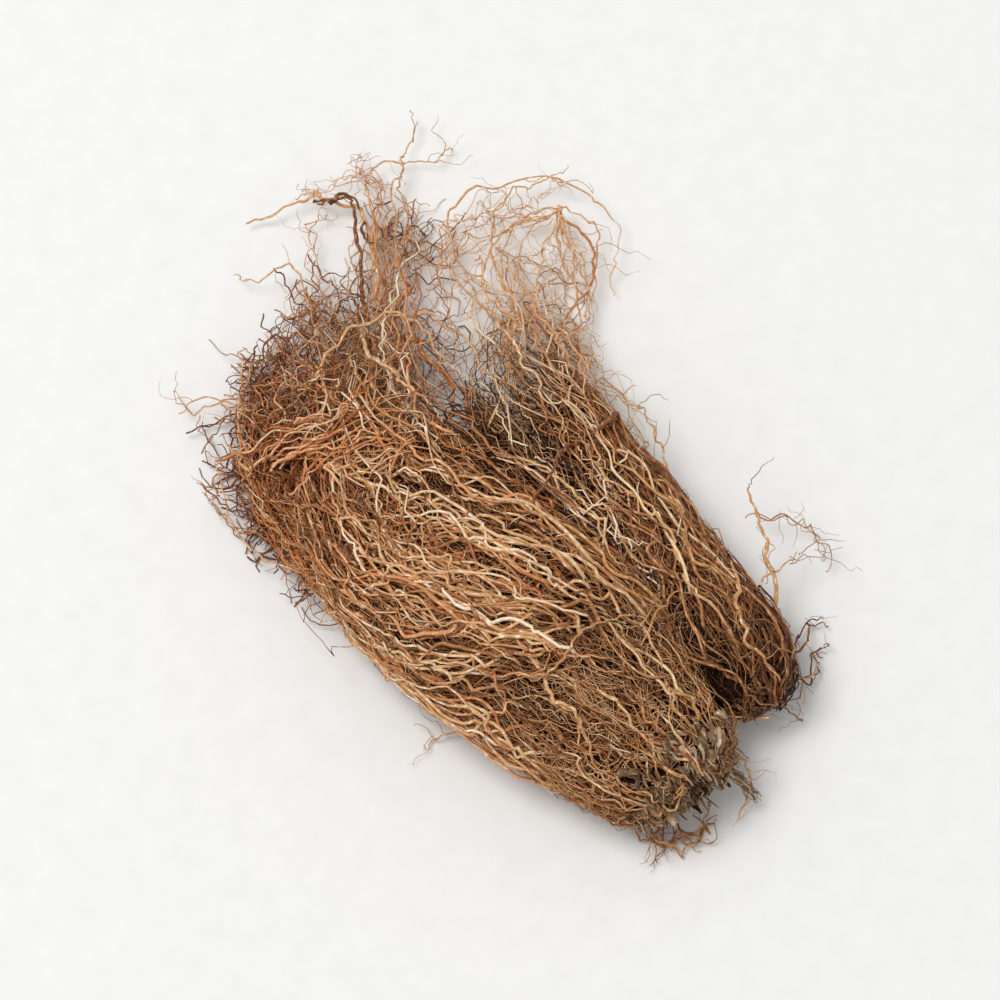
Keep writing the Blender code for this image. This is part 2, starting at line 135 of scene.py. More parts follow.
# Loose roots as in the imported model, and more that lie on the mat: x, y, height along each.
LOOSE = {
    "stout_pale": [(-12, 76, 8), (5, 99, 8), (19, 124, 9), (14, 142, 9), (5, 148, 8), (-18, 154, 5)],
    "dark_twist": [(-16, 74, 10), (-2, 96, 10), (8, 115, 11), (19, 135, 12), (9, 142, 11)],
    "top_long": [(-6, 78, 9), (12, 105, 8), (27, 136, 8), (39, 142, 7), (55, 133, 6), (65, 133, 4)],
    "top_upright": [(-4, 74, 10), (17, 105, 8), (37, 131, 8), (46, 138, 8), (61, 151, 5)],
    "left_hook": [(-28, 66, 12), (-24, 96, 12), (-15, 125, 14), (-30, 131, 9), (-34, 139, 5)],
    "left_curl": [(-44, 48, 14), (-56, 76, 12), (-68, 97, 9), (-80, 101, 7), (-80, 114, 4)],
    "left_feeler": [(-42, 40, 18), (-60, 70, 13), (-72, 102, 9), (-84, 104, 6)],
    "left_tail": [(-70, 6, 16), (-93, 34, 12), (-94, 56, 10), (-84, 80, 10)],
    "right_arch": [
        (38, 54, 10), (34, 84, 10), (49, 111, 10), (67, 108, 11), (87, 99, 11),
        (95, 84, 10), (98, 66, 9), (87, 56, 7), (80, 46, 4),
    ],
    "right_spray": [(42, 50, 11), (48, 76, 11), (66, 90, 11), (82, 86, 11), (90, 72, 10), (78, 56, 9),
        (56, 34, 12)],
    "right_fork": [(44, 50, 11), (50, 86, 10), (69, 102, 11), (82, 99, 11), (96, 98, 9)],
    "standing_stout": [(40, -104, 22), (54, -92, 21), (60, -78, 22), (66, -66, 22), (70, -51, 19)],
    "standing_arm": [(44, -88, 24), (60, -85, 21), (72, -83, 13)],
    "edge_bow": [(42, -40, 22), (54, -20, 20), (57, -4, 18), (54, 8, 16), (42, 22, 18)],
    "crossing": [(46, -6, 28), (40, -5, 41), (22, -6, 45), (6, -12, 53), (-8, -20, 51)],
    "heel_hook": [(-58, -66, 16), (-76, -62, 5), (-80, -59, 3), (-85, -59, 2)],
    "crown_beard": [(-30, -118, 10), (-38, -137, 4), (-31, -148, 3), (-22, -148, 2)],
    "crown_thread": [(0, -116, 18), (6, -136, 16), (1, -146, 9), (-8, -153, 3)],
    "right_tip": [(34, -108, 14), (44, -123, 9), (54, -120, 5)],
    "right_heel": [(30, -86, 36), (29, -110, 38), (31, -124, 30), (30, -131, 16), (35, -135, 5)],
    "rim_arc": [(0, -80, 34), (10, -98, 37), (16, -110, 37), (20, -121, 31), (24, -126, 22)],
}
# Roots of the right fan that spring from one knot, and finer loose ends round the outline.
STAR_HUB = (82, 85, 12)
STAR_ENDS = [
    (31, 93, 8), (40, 78, 9), (43, 66, 9), (46, 54, 10), (53, 45, 11), (57, 38, 11), (64, 42, 9),
    (70, 51, 7), (74, 58, 6), (60, 62, 9),
]
WISPS = [
    [(-2, 88, 10), (14, 112, 9), (28, 128, 8), (34, 136, 7), (31, 145, 6), (22, 149, 5)],
    [(2, 90, 10), (20, 116, 9), (32, 138, 8), (29, 147, 7), (34, 153, 6)],
    [(6, 92, 9), (24, 121, 8), (30, 141, 7), (15, 148, 6), (8, 152, 5)],
    [(-30, 84, 9), (-14, 112, 8), (-4, 130, 7), (3, 139, 6), (10, 136, 6)],
    [(-66, 30, 12), (-90, 46, 9), (-96, 62, 6), (-93, 72, 5)],
    [(26, 90, 8), (36, 98, 9), (52, 99, 9), (70, 94, 10), (80, 86, 11)],
    [(30, 84, 7), (44, 104, 9), (62, 99, 10), (78, 92, 11), (92, 96, 9)],
    [(34, 78, 7), (42, 96, 8), (58, 104, 9), (74, 104, 9)],
    [(66, -60, 12), (78, -68, 10), (83, -80, 8), (79, -90, 6)],
    [(40, -110, 10), (52, -112, 8), (60, -106, 5), (66, -110, 3)],
    [(36, -116, 8), (48, -122, 6), (55, -116, 4), (60, -119, 2)],
    [(-34, -128, 8), (-42, -134, 4), (-38, -142, 3), (-43, -146, 2)],
    [(-30, -130, 6), (-38, -138, 3), (-33, -146, 2), (-27, -143, 3)],
    [(-28, -130, 6), (-33, -139, 3), (-26, -146, 3), (-17, -146, 2), (-14, -141, 2)],
    [(-24, -132, 6), (-29, -142, 3), (-21, -149, 3), (-13, -145, 2)],
]
STOUT_LOOSE = {"stout_pale", "standing_stout", "dark_twist", "crossing", "rim_arc"}

# How far strands stand out of the core's side, in layers.
CORE_LIFT = -1.5
DEEP_LIFT = (-1.5, 1.2)
MIDDLE_LIFT = (0.0, 3.6)
TOP_LIFT = (1.6, 4.4)
HAIR_LIFT = (0.4, 4.3)
FLOOR_SOFTNESS = 4.0
BOX_SOFTNESS = 4.0
LOWEST = 0.4

rng = np.random.default_rng(SEED)
pieces = []


def mixed(low, high, share):
    """The value at a share of the way from low to high."""
    return low + (high - low) * share


def curve_points(points, places):
    """Catmull-Rom points. points is (..., count, size) and places counts the points passed."""
    last = points.shape[-2] - 1
    index = np.clip(np.floor(places).astype(int), 0, last - 1)
    share = (places - index)[..., None]
    before, start, end, after = (
        np.take(points, np.clip(index + step, 0, last), axis=-2) for step in (-1, 0, 1, 2)
    )
    slope_in = (end - before) / 2
    slope_out = (after - start) / 2
    square = share * share
    cube = square * share
    return (
        start * (2 * cube - 3 * square + 1)
        + slope_in * (cube - 2 * square + share)
        + end * (3 * square - 2 * cube)
        + slope_out * (cube - square)
    )


class Lobe:
    """A lobe of the mat: its section at any y, with rounded ends."""

    def __init__(self, stations, caps, samples=400):
        table = np.array(stations, float)
        self.start, self.end = table[0, 0], table[-1, 0]
        self.caps = caps
        self.ys = np.linspace(self.start, self.end, samples)
        index = np.clip(np.searchsorted(table[:, 0], self.ys) - 1, 0, len(table) - 2)
        share = (self.ys - table[index, 0]) / (table[index + 1, 0] - table[index, 0])
        self.table = curve_points(table, index + share)[:, 1:]

    def side(self, y, angle, lift):
        """Points round the lobe at y. Angle 0 faces +X and a quarter turn faces up."""
        inside = np.clip(y, self.start, self.end)
        centre, half_width, bottom, top = (np.interp(inside, self.ys, self.table[:, i]) for i in range(4))
        half_height = (top - bottom) / 2
        from_start = np.clip((y - self.start + 3) / self.caps[0], 0, 1)
        from_end = np.clip((self.end + 4 - y) / self.caps[1], 0, 1)
        shrink = np.sqrt(np.clip(1 - (1 - from_start) ** 2 - (1 - from_end) ** 2, 0.02, 1))
        x = centre + (half_width + lift) * shrink * np.cos(angle)
        z = bottom + half_height + (half_height + lift) * shrink * np.sin(angle)
        return np.stack([x, y, soft_floor(z)], axis=-1)


def soft_floor(z):
    """Heights pressed together near the floor, so that nothing goes through it."""
    pressed = FLOOR_SOFTNESS * np.exp(np.minimum(z - FLOOR_SOFTNESS, 0) / FLOOR_SOFTNESS)
    return np.where(z > FLOOR_SOFTNESS, z, pressed)


broad = Lobe(BROAD, BROAD_CAPS)
narrow = Lobe(NARROW, NARROW_CAPS)
broad_mat = Lobe(BROAD_MAT, BROAD_CAPS)
narrow_mat = Lobe(NARROW_MAT, NARROW_CAPS)


def resampled(controls, count):
    """Smooth strands of count points through (strands, controls, 3)."""
    controls = np.asarray(controls, float)
    places = np.linspace(0, controls.shape[1] - 1, count)
    return curve_points(controls, np.broadcast_to(places, (len(controls), count))[0])


def waves(strands, count, lengths, sizes, step):
    """Smooth random sway for each strand: sizes in mm at the given wave lengths."""
    total = np.zeros((strands, count, 3))
    along = np.arange(count)[None, :, None] * step[:, None, None]
    for length, size in zip(lengths, sizes):
        phase = rng.uniform(0, math.tau, (strands, 1, 3))
        stretch = rng.uniform(0.7, 1.4, (strands, 1, 3))
        grown = rng.uniform(0.5, 1.5, (strands, 1, 1))
        total += size * grown * np.sin(along * math.tau / (length * stretch) + phase)
    return total


def kinks(strands, count, size, step, spacing):
    """Sharp random bends: straight runs between points that are off the line."""
    knots = max(int(count * float(np.mean(step)) / spacing), 2)
    offsets = rng.normal(0, size, (strands, knots + 1, 3))
    places = np.linspace(0, knots, count)
    index = np.minimum(places.astype(int), knots - 1)
    share = (places - index)[None, :, None]
    return offsets[:, index] * (1 - share) + offsets[:, index + 1] * share


def roughened(paths, look, bundles=None, normals=None):
    """Strands with sway and kinks. look is (wave lengths, wave sizes, kink, kink spacing)."""
    lengths, sizes, kink, spacing = look
    strands, count = paths.shape[:2]
    step = np.linalg.norm(np.diff(paths, axis=1), axis=2).mean(axis=1)
    shift = waves(strands, count, lengths, sizes, step) + kinks(strands, count, kink, step, spacing)
    if bundles is not None:
        total = int(bundles.max()) + 1
        together = waves(total, count, BUNDLE_LENGTHS, BUNDLE_SIZES, np.full(total, float(step.mean())))
        shift += together[bundles]
    if normals is not None:
        outward = np.sum(shift * normals, axis=2, keepdims=True) * normals
        shift -= outward * (1 - SWAY_OUTWARD)
    return kept_inside(paths + shift)


def kept_inside(paths):
    """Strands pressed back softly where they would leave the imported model's box."""
    low, high = (np.array(corner) / MM for corner in CAD_BOX)
    low[2] = -99.0
    over = paths - (high - BOX_SOFTNESS)
    under = (low + BOX_SOFTNESS) - paths
    paths = np.where(over > 0, high - BOX_SOFTNESS + BOX_SOFTNESS * np.tanh(over / BOX_SOFTNESS), paths)
    paths = np.where(under > 0, low + BOX_SOFTNESS - BOX_SOFTNESS * np.tanh(under / BOX_SOFTNESS), paths)
    paths[..., 2] = soft_floor(paths[..., 2])
    return paths


def walks(count, points, length, heading, curl, wobble):
    """Curly flat walks from (0, 0): offsets in mm. curl and wobble are bends in radians a mm."""
    step = rng.uniform(*length, count)[:, None] / (points - 1)
    share = np.linspace(0, 1, points)[None, :]
    bend = rng.normal(0, curl, (count, 1)) + wobble * np.sin(
        share * rng.uniform(4, 12, (count, 1)) + rng.uniform(0, math.tau, (count, 1))
    )
    turned = heading[:, None] + np.cumsum(bend * step, axis=1)
    ahead = np.stack([np.cos(turned), np.sin(turned)], axis=-1) * step[..., None]
    offsets = np.cumsum(ahead, axis=1)
    return offsets - offsets[:, :1]


def taper(strands, count, radius, tip, lumps=0.12):
    """Radii along each strand, thinner at the tip and slightly lumpy."""
    share = np.linspace(0, 1, count)[None, :]
    base = mixed(radius[:, None], (radius * tip)[:, None], share ** 1.6)
    phase = rng.uniform(0, math.tau, (strands, 1))
    lump = 1 + lumps * np.sin(share * 37 + phase) * np.sin(share * 17 + phase * 2)
    return base * lump


def frames(paths):
    """Directions along and across each strand, turned as little as possible."""
    ahead = np.gradient(paths, axis=1)
    ahead /= np.maximum(np.linalg.norm(ahead, axis=2, keepdims=True), 1e-9)
    across = np.empty_like(ahead)
    guide = np.where(np.abs(ahead[:, 0, 2:]) < 0.9, [[0.0, 0.0, 1.0]], [[1.0, 0.0, 0.0]])
    for i in range(paths.shape[1]):
        guide = guide - ahead[:, i] * np.sum(guide * ahead[:, i], axis=1, keepdims=True)
        guide /= np.maximum(np.linalg.norm(guide, axis=1, keepdims=True), 1e-9)
        across[:, i] = guide
    return across, np.cross(ahead, across)


# The layout of the strands' UV map: tones across U, rows of hues up V, each strand along its row
UV_NAME = "OFBake"
HUES = 3
TONE_WIDTH = 0.014
ALONG_SCALE = 0.0022
ROW_MARGIN = 0.01
ROW_LENGTH = 1 / HUES - 2 * ROW_MARGIN
CAP_HEIGHT = 0.004
CLEARANCE = 0.15


class Strands:
    """Collects batches of strands and makes one mesh of them."""

    def __init__(self, name, material, slot="root_skin", node="root_mass"):
        self.name, self.material, self.slot, self.node = name, material, slot, node
        self.corners, self.faces = [], []
        self.count = 0

    def add(self, paths, radii, sides, tones, hues, section=None):
        """Add strands (mm) with a tone from 0 dark to 1 pale, and a hue row each."""
        strands, count = paths.shape[:2]
        paths = paths.copy()
        paths[..., 2] = np.maximum(paths[..., 2], radii + CLEARANCE)
        across, over = frames(paths)
        angle = np.arange(sides) * math.tau / sides
        outline = np.stack([np.cos(angle), np.sin(angle)], axis=1) if section is None else section
        spokes = across[:, :, None] * outline[:, :1] + over[:, :, None] * outline[:, 1:]
        corners = paths[:, :, None] + spokes * radii[:, :, None, None]
        self.corners.append(corners.reshape(-1, 3))
        ids = np.arange(strands * count * sides).reshape(strands, count, sides) + self.count
        self.count += strands * count * sides
        after = np.roll(ids, -1, axis=2)
        quads = np.stack([ids[:, :-1], after[:, :-1], after[:, 1:], ids[:, 1:]], axis=-1)
        lengths = np.linalg.norm(np.diff(paths, axis=1), axis=2)
        along = np.concatenate([np.zeros((strands, 1)), np.cumsum(lengths, axis=1)], axis=1) * ALONG_SCALE
        room = np.maximum(ROW_LENGTH - along[:, -1:], 0.0)
        along = np.minimum(along, ROW_LENGTH) + rng.uniform(0, 1, (strands, 1)) * room
        v = along + hues[:, None] / HUES + ROW_MARGIN
        wrap = 1 - np.abs(np.arange(sides + 1) / sides * 2 - 1)
        u = np.clip(tones, 0.01, 0.97)[:, None] + wrap[None] * TONE_WIDTH
        shape = (strands, count - 1, sides)
        left, right, low, high = (
            np.broadcast_to(part, shape)
            for part in (u[:, None, :-1], u[:, None, 1:], v[:, :-1, None], v[:, 1:, None])
        )
        uv = np.stack([left, low, right, low, right, high, left, high], axis=-1)
        self.faces.append((quads.reshape(-1, 4), uv.reshape(-1, 4, 2)))
        for ring, v_end in ((ids[:, 0, ::-1], v[:, 0]), (ids[:, -1], v[:, -1])):
            cap_u = (u[:, :1] + TONE_WIDTH * (0.5 + 0.5 * np.cos(angle)))[..., None]
            cap_v = (v_end[:, None] + CAP_HEIGHT * np.sin(angle))[..., None]
            self.faces.append((ring, np.concatenate([cap_u, cap_v], axis=-1)))

    def build(self):
        """Make the mesh object, riding on the root body."""
        mesh = bpy.data.meshes.new(self.name)
        corners = np.concatenate(self.corners) * MM
        mesh.vertices.add(len(corners))
        mesh.vertices.foreach_set("co", corners.astype(np.float32).ravel())
        loops = np.concatenate([faces.ravel() for faces, _ in self.faces])
        sizes = np.concatenate([np.full(len(faces), faces.shape[1]) for faces, _ in self.faces])
        uvs = np.concatenate([uv.reshape(-1, 2) for _, uv in self.faces])
        mesh.loops.add(len(loops))
        mesh.loops.foreach_set("vertex_index", loops.astype(np.int32))
        mesh.polygons.add(len(sizes))
        starts = np.concatenate([[0], np.cumsum(sizes)[:-1]])
        mesh.polygons.foreach_set("loop_start", starts.astype(np.int32))
        layer = mesh.uv_layers.new(name=UV_NAME)
        mesh.update(calc_edges=True)
        layer.data.foreach_set("uv", uvs.astype(np.float32).ravel())
        mesh.materials.append(self.material)
        mesh.shade_smooth()
        return adopted(bpy.data.objects.new(self.name, mesh), self.node)


def adopted(piece, node):
    """Put a piece in the scene and in the frame."""
    bpy.context.scene.collection.objects.link(piece)
    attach(piece, "root")
    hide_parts(node)
    pieces.append(piece)
    return piece


def linear(hex_colour):
    """An sRGB hex colour as linear RGBA."""
    channels = [int(hex_colour[i:i + 2], 16) / 255 for i in (0, 2, 4)]
    return [c / 12.92 if c <= 0.04045 else ((c + 0.055) / 1.055) ** 2.4 for c in channels] + [1.0]


def new_material(name):
    """A material, its node tree and its shader."""
    material = bpy.data.materials.new(name)
    material.use_nodes = True
    return material, material.node_tree, material.node_tree.nodes["Principled BSDF"]


def coloured(tree, value, stops, interpolation="LINEAR"):
    """The colour that a ramp gives for a value."""
    node = tree.nodes.new("ShaderNodeValToRGB")
    node.color_ramp.interpolation = interpolation
    elements = node.color_ramp.elements
    while len(elements) < len(stops):
        elements.new(1.0)
    for element, (place, colour) in zip(elements, stops):
        element.position = place
        element.color = linear(colour)
    tree.links.new(value, node.inputs["Fac"])
    return node.outputs["Color"]


def uv_place(tree):
    """The place in the UV map."""
    node = tree.nodes.new("ShaderNodeUVMap")
    node.uv_map = UV_NAME
    return node.outputs["UV"]


def noise(tree, place, scale, detail, distortion=0.0):
    """Noise over a place."""
    node = tree.nodes.new("ShaderNodeTexNoise")
    for socket, value in (("Scale", scale), ("Detail", detail), ("Distortion", distortion)):
        node.inputs[socket].default_value = value
    tree.links.new(place, node.inputs["Vector"])
    return node.outputs["Fac"]


def fibre_noise(tree, scale, detail, distortion=0.0):
    """Noise over the UV map, stretched by a scale along U and V."""
    stretch = tree.nodes.new("ShaderNodeMapping")
    stretch.inputs["Scale"].default_value = (*scale, 1)
    tree.links.new(uv_place(tree), stretch.inputs["Vector"])
    return noise(tree, stretch.outputs["Vector"], 1.0, detail, distortion)


def spread_about(tree, value, size, middle=0.0):
    """A noise value, spread over a size about a middle."""
    node = tree.nodes.new("ShaderNodeMath")
    node.operation = "MULTIPLY_ADD"
    node.inputs[1].default_value = size
    node.inputs[2].default_value = middle - size / 2
    tree.links.new(value, node.inputs[0])
    return node.outputs[0]


def added(tree, total, *values):
    """The sum of some values."""
    for value in values:
        node = tree.nodes.new("ShaderNodeMath")
        tree.links.new(total, node.inputs[0])
        tree.links.new(value, node.inputs[1])
        total = node.outputs[0]
    return total


def add_bump(tree, shader, height, strength, distance):
    """Small relief on a surface."""
    bump = tree.nodes.new("ShaderNodeBump")
    bump.inputs["Strength"].default_value = strength
    bump.inputs["Distance"].default_value = distance
    tree.links.new(height, bump.inputs["Height"])
    tree.links.new(bump.outputs["Normal"], shader.inputs["Normal"])


TONES = [
    (0.0, "140A06"),
    (0.15, "351C0E"),
    (0.32, "693E25"),
    (0.5, "A56B41"),
    (0.66, "CE9661"),
    (0.8, "E5BA89"),
    (0.92, "F6DFBE"),
    (1.0, "FFF2DC"),
]
STRAW_TONES = [
    (0.0, "15100A"),
    (0.2, "3A2B1E"),
    (0.4, "6C503A"),
    (0.6, "A0805E"),
    (0.8, "D0B28E"),
    (1.0, "EEDDC6"),
]
HUE_TINTS = [(0.0, "FFFFFF"), (1 / 3, "FADAC6"), (2 / 3, "FAF5E0")]
STREAK_SCALE = (260, 150)
STREAK_SIZE = 0.42
SCAR_SCALE = (40, 700)
SCAR_SIZE = 0.24
PATCH_FROM, PATCH_TO = 0.56, 0.66
PATCH_SIZE = 0.24
SCAR_RELIEF = (0.5, 0.0002)
FIBRE_RELIEF = (0.8, 0.0008)


def root_material(name, roughness, tones):
    """Dry root skin: the tone runs across U, streaks and scars run along V."""
    material, tree, shader = new_material(name)
    split = tree.nodes.new("ShaderNodeSeparateXYZ")
    tree.links.new(uv_place(tree), split.inputs[0])
    streaks = fibre_noise(tree, STREAK_SCALE, 4.0)
    scars = fibre_noise(tree, SCAR_SCALE, 2.0)
    patch = tree.nodes.new("ShaderNodeMapRange")
    for socket, value in (("From Min", PATCH_FROM), ("From Max", PATCH_TO), ("To Max", PATCH_SIZE)):
        patch.inputs[socket].default_value = value
    tree.links.new(streaks, patch.inputs["Value"])
    streaked = spread_about(tree, streaks, STREAK_SIZE)
    scarred = spread_about(tree, scars, SCAR_SIZE)
    tone = added(tree, split.outputs["X"], streaked, patch.outputs["Result"], scarred)
    tinted = tree.nodes.new("ShaderNodeMix")
    tinted.data_type = "RGBA"
    tinted.blend_type = "MULTIPLY"
    tinted.inputs["Factor"].default_value = 1.0
    tree.links.new(coloured(tree, tone, tones), tinted.inputs["A"])
    tree.links.new(coloured(tree, split.outputs["Y"], HUE_TINTS, "CONSTANT"), tinted.inputs["B"])
    tree.links.new(tinted.outputs["Result"], shader.inputs["Base Color"])
    shader.inputs["Specular IOR Level"].default_value = 0.28
    tree.links.new(spread_about(tree, scars, 0.25, roughness), shader.inputs["Roughness"])
    add_bump(tree, shader, scars, *SCAR_RELIEF)
    return material


def core_material(name, stops, fibre_scale):
    """A fibrous surface: fine fibres along V. The inner mat under the roots is coloured dark as painted
    shade.
    """
    material, tree, shader = new_material(name)
    fibres = fibre_noise(tree, fibre_scale, 6.0, 1.2)
    tree.links.new(coloured(tree, fibres, stops), shader.inputs["Base Color"])
    shader.inputs["Roughness"].default_value = 0.95
    shader.inputs["Specular IOR Level"].default_value = 0.1
    add_bump(tree, shader, fibres, *FIBRE_RELIEF)
    return material


skin = root_material("root_skin", 0.545, TONES)
straw = root_material("straw_skin", 0.855, STRAW_TONES)
# The inner mat's near-black colours are painted shade deep under the roots.
mat = core_material("inner_mat_painted_shade", [(0.3, "140A06"), (0.5, "2E1A0F"), (0.72, "553420")], (160, 26))
cut = core_material("cut_face", [(0.3, "15100A"), (0.5, "4A3B28"), (0.7, "8C7752")], (40, 40))


def ring_faces(rings, sides):
    """The numbers of the points on rings, and the quads between one ring and the next."""
    ids = np.arange(rings * sides).reshape(rings, sides)
    after = np.roll(ids, -1, axis=1)
    return ids, np.stack([ids[:-1], after[:-1], after[1:], ids[1:]], axis=-1)


def ringed_piece(name, points, faces, uv, material, node):
    """A mesh object from points in mm, faces and a UV for each corner."""
    mesh = bpy.data.meshes.new(name)
    mesh.from_pydata((points.reshape(-1, 3) * MM).tolist(), [], faces)
    mesh.uv_layers.new(name=UV_NAME).data.foreach_set("uv", np.array(uv, np.float32).ravel())
    mesh.materials.append(material)
    mesh.shade_smooth()
    return adopted(bpy.data.objects.new(name, mesh), node)


# The inner mat of each lobe, coloured dark as painted shade under the roots
CORE_RINGS = 110
CORE_SIDES = 100
CORE_ROUGHNESS = 0.45
RIDGES = 37
RIDGE_HEIGHT = 0.45
CORE_V = (0.01, 0.93)
CORE_CAPS = ((0.25, 0.967), (0.75, 0.967))
CAP_RADIUS = 0.03
HOLLOW_RINGS = 8
HOLLOW_CENTRE = (23, -124, 21)
HOLLOW_RADII = (10, 24, 9.5)


def core_piece(name, lobe, lift, hollow):
    """A lobe's inner mat, with an open hollow in its lower end where it has one."""
    turn = np.linspace(0.02, math.pi - 0.02, CORE_RINGS)
    ys = lobe.start + 2 + (lobe.end - lobe.start - 4) * (1 - np.cos(turn)) / 2
    angle = np.arange(CORE_SIDES) * math.tau / CORE_SIDES
    y_grid, angle_grid = np.meshgrid(ys, angle, indexing="ij")
    ridges = np.sin(angle_grid * RIDGES + 3 * np.sin(y_grid * 0.05)) * RIDGE_HEIGHT
    lumps = rng.normal(0, CORE_ROUGHNESS, y_grid.shape)
    points = lobe.side(y_grid, angle_grid, lift + ridges + lumps)
    points[..., 2] = np.maximum(points[..., 2], LOWEST)
    if hollow:
        share = np.linspace(0.98, 0.0, HOLLOW_RINGS)[:, None]
        shrink = np.sqrt(1 - share * share)
        x = HOLLOW_CENTRE[0] + HOLLOW_RADII[0] * shrink * np.cos(angle)
        y = np.broadcast_to(lobe.start + 2 + HOLLOW_RADII[1] * share, x.shape)
        z = HOLLOW_CENTRE[2] + HOLLOW_RADII[2] * shrink * np.sin(angle)
        points = np.concatenate([np.stack([x, y, z], axis=-1), points])
    rings = len(points)
    ids, quads = ring_faces(rings, CORE_SIDES)
    faces = quads.reshape(-1, 4)[:, ::-1].tolist() + [ids[0].tolist(), ids[-1, ::-1].tolist()]
    u = np.arange(CORE_SIDES + 1) / CORE_SIDES
    v = np.linspace(*CORE_V, rings)
    uv = []
    for i in range(rings - 1):
        for j in range(CORE_SIDES):
            uv += [(u[j], v[i + 1]), (u[j + 1], v[i + 1]), (u[j + 1], v[i]), (u[j], v[i])]
    for cap in CORE_CAPS:
        uv += [(cap[0] + CAP_RADIUS * math.cos(a), cap[1] + CAP_RADIUS * math.sin(a)) for a in angle]
    return ringed_piece(name, points, faces, uv, mat, "root_mass")


core_piece("broad_inner_mat", broad_mat, CORE_LIFT, False)
core_piece("narrow_inner_mat", narrow_mat, CORE_LIFT, True)


# Roots on the lobes
LINE_SAMPLES = 60
BUNDLE_LENGTHS = (70, 38)
BUNDLE_SIZES = (2.4, 1.3)
SWAY_OUTWARD = 0.35
DIVE = 5.0
END_SHARE = 0.14


def dipped(proud, points, free):
    """Lift along each strand: up from the mat, along it, and down again unless its end is free."""
    count = len(proud)
    share = np.linspace(0, 1, points)[None, :]
    rise = np.sin(np.clip(share / END_SHARE, 0, 1) * math.pi / 2)
    is_free = (rng.random(count) < free)[:, None]
    fall = np.where(is_free, 1.0, np.sin(np.clip((1 - share) / END_SHARE, 0, 1) * math.pi / 2))
    held = rise * fall
    ripple = rng.normal(0, 0.5, (count, 1)) * np.sin(share * 9 + rng.uniform(0, math.tau, (count, 1)))
    return (proud[:, None] + ripple) * held - DIVE * (1 - held)


def normals_at(angle):
    """Directions out of a lobe's side."""
    return np.stack([np.cos(angle), np.zeros_like(angle), np.sin(angle)], axis=-1)


def line_table(lines):
    """A lobe's lines, each drawn through many points."""
    table = np.array(lines, float)
    return curve_points(table, np.linspace(0, table.shape[1] - 1, LINE_SAMPLES))


def on_lines(table, line, share):
    """y and angle at shares along numbered lines. Numbers between two lines mix them."""
    place = np.clip(share, 0, 1) * (LINE_SAMPLES - 1.001)
    low_line, low_place = line.astype(int)[:, None], place.astype(int)
    line_share, place_share = (line - line.astype(int))[:, None, None], (place - low_place)[..., None]
    near = mixed(table[low_line, low_place], table[low_line, low_place + 1], place_share)
    far = mixed(table[low_line + 1, low_place], table[low_line + 1, low_place + 1], place_share)
    y, degrees = np.moveaxis(mixed(near, far, line_share), -1, 0)
    return y, np.radians(degrees)


WELL = (12, -112)
WELL_RADIUS = 5.5
WELL_FLOOR = 9
# Open places among the tips: from, to, width at each end and the share of strands kept there.
GAPS = [
    ((-2, 43), (28, 88), (4.0, 8.5), 0.16),
    ((-8, 96), (8, 122), (6.5, 8.0), 0.3),
]


def clear_of_gaps(paths):
    """Which strands keep out of the dark well and, for the most part, out of the gaps."""
    flat = paths[..., :2]
    in_well = (np.linalg.norm(flat - WELL, axis=2) < WELL_RADIUS) & (paths[..., 2] > WELL_FLOOR)
    clear = ~in_well.any(axis=1)
    for start, end, widths, kept in GAPS:
        run = np.array(end, float) - start
        share = (flat - start) @ run / (run @ run)
        off = np.linalg.norm(flat - (start + np.clip(share, 0, 1)[..., None] * run), axis=2)
        in_gap = (share > 0) & (off < mixed(*widths, np.clip(share, 0, 1)))
        clear &= ~in_gap.any(axis=1) | (rng.random(len(paths)) < kept)
    return clear


def thinned(paths, proud, limits, kept):
    """Leave out strands in the gaps, and more and more of the others where the mat opens into tips."""
    far = np.quantile(paths[..., 1], 0.75, axis=1)
    place = np.clip((far - limits[0]) / (limits[1] - limits[0]), 0, 1)
    buried = (proud < 0.6) & (place == 0)
    keep = (rng.random(len(paths)) < mixed(1.0, kept, place)) & (clear_of_gaps(paths) | buried)
    return paths[keep], proud[keep]


THIN_LIMITS = {broad: (26, 60), narrow: (-4, 34)}
THIN_KEPT = 0.1
END_SPREAD = 0.2
ALONG_LOBE = 90
SCATTER_WOBBLE = 0.06


def guided(lobe, lines, count, points, run, lifts, look, bundle_size, between, along, free, drift):
    """Strands that follow a lobe's lines, in bundles. between and along limit where they lie."""
    total = max(count // bundle_size, 1)
    bundles = np.sort(rng.integers(0, total, count))
    middle = mixed(between[0], between[1], (np.arange(total) + rng.random(total)) / total)
    line = np.clip(middle[bundles] + rng.normal(0, 0.28, count), 0, len(lines) - 1.001)
    limit = along[1] - rng.uniform(0, END_SPREAD, count)
    length = np.minimum(rng.uniform(*run, count), limit - along[0])
    start = rng.uniform(along[0], np.maximum(along[1] - run[0], along[0] + 0.01), total)[bundles]
    start = np.clip(start + rng.normal(0, 0.06, count), along[0], np.maximum(limit - length, along[0]))
    share = np.linspace(0, 1, points)[None, :]
    y, angle = on_lines(line_table(lines), line, start[:, None] + length[:, None] * share)
    angle = angle + rng.normal(0, drift, (count, 1)) * share
    proud = rng.uniform(*lifts, count)
    paths = lobe.side(y, angle, dipped(proud, points, free))
    return thinned(roughened(paths, look, bundles, normals_at(angle)), proud, THIN_LIMITS[lobe], THIN_KEPT)


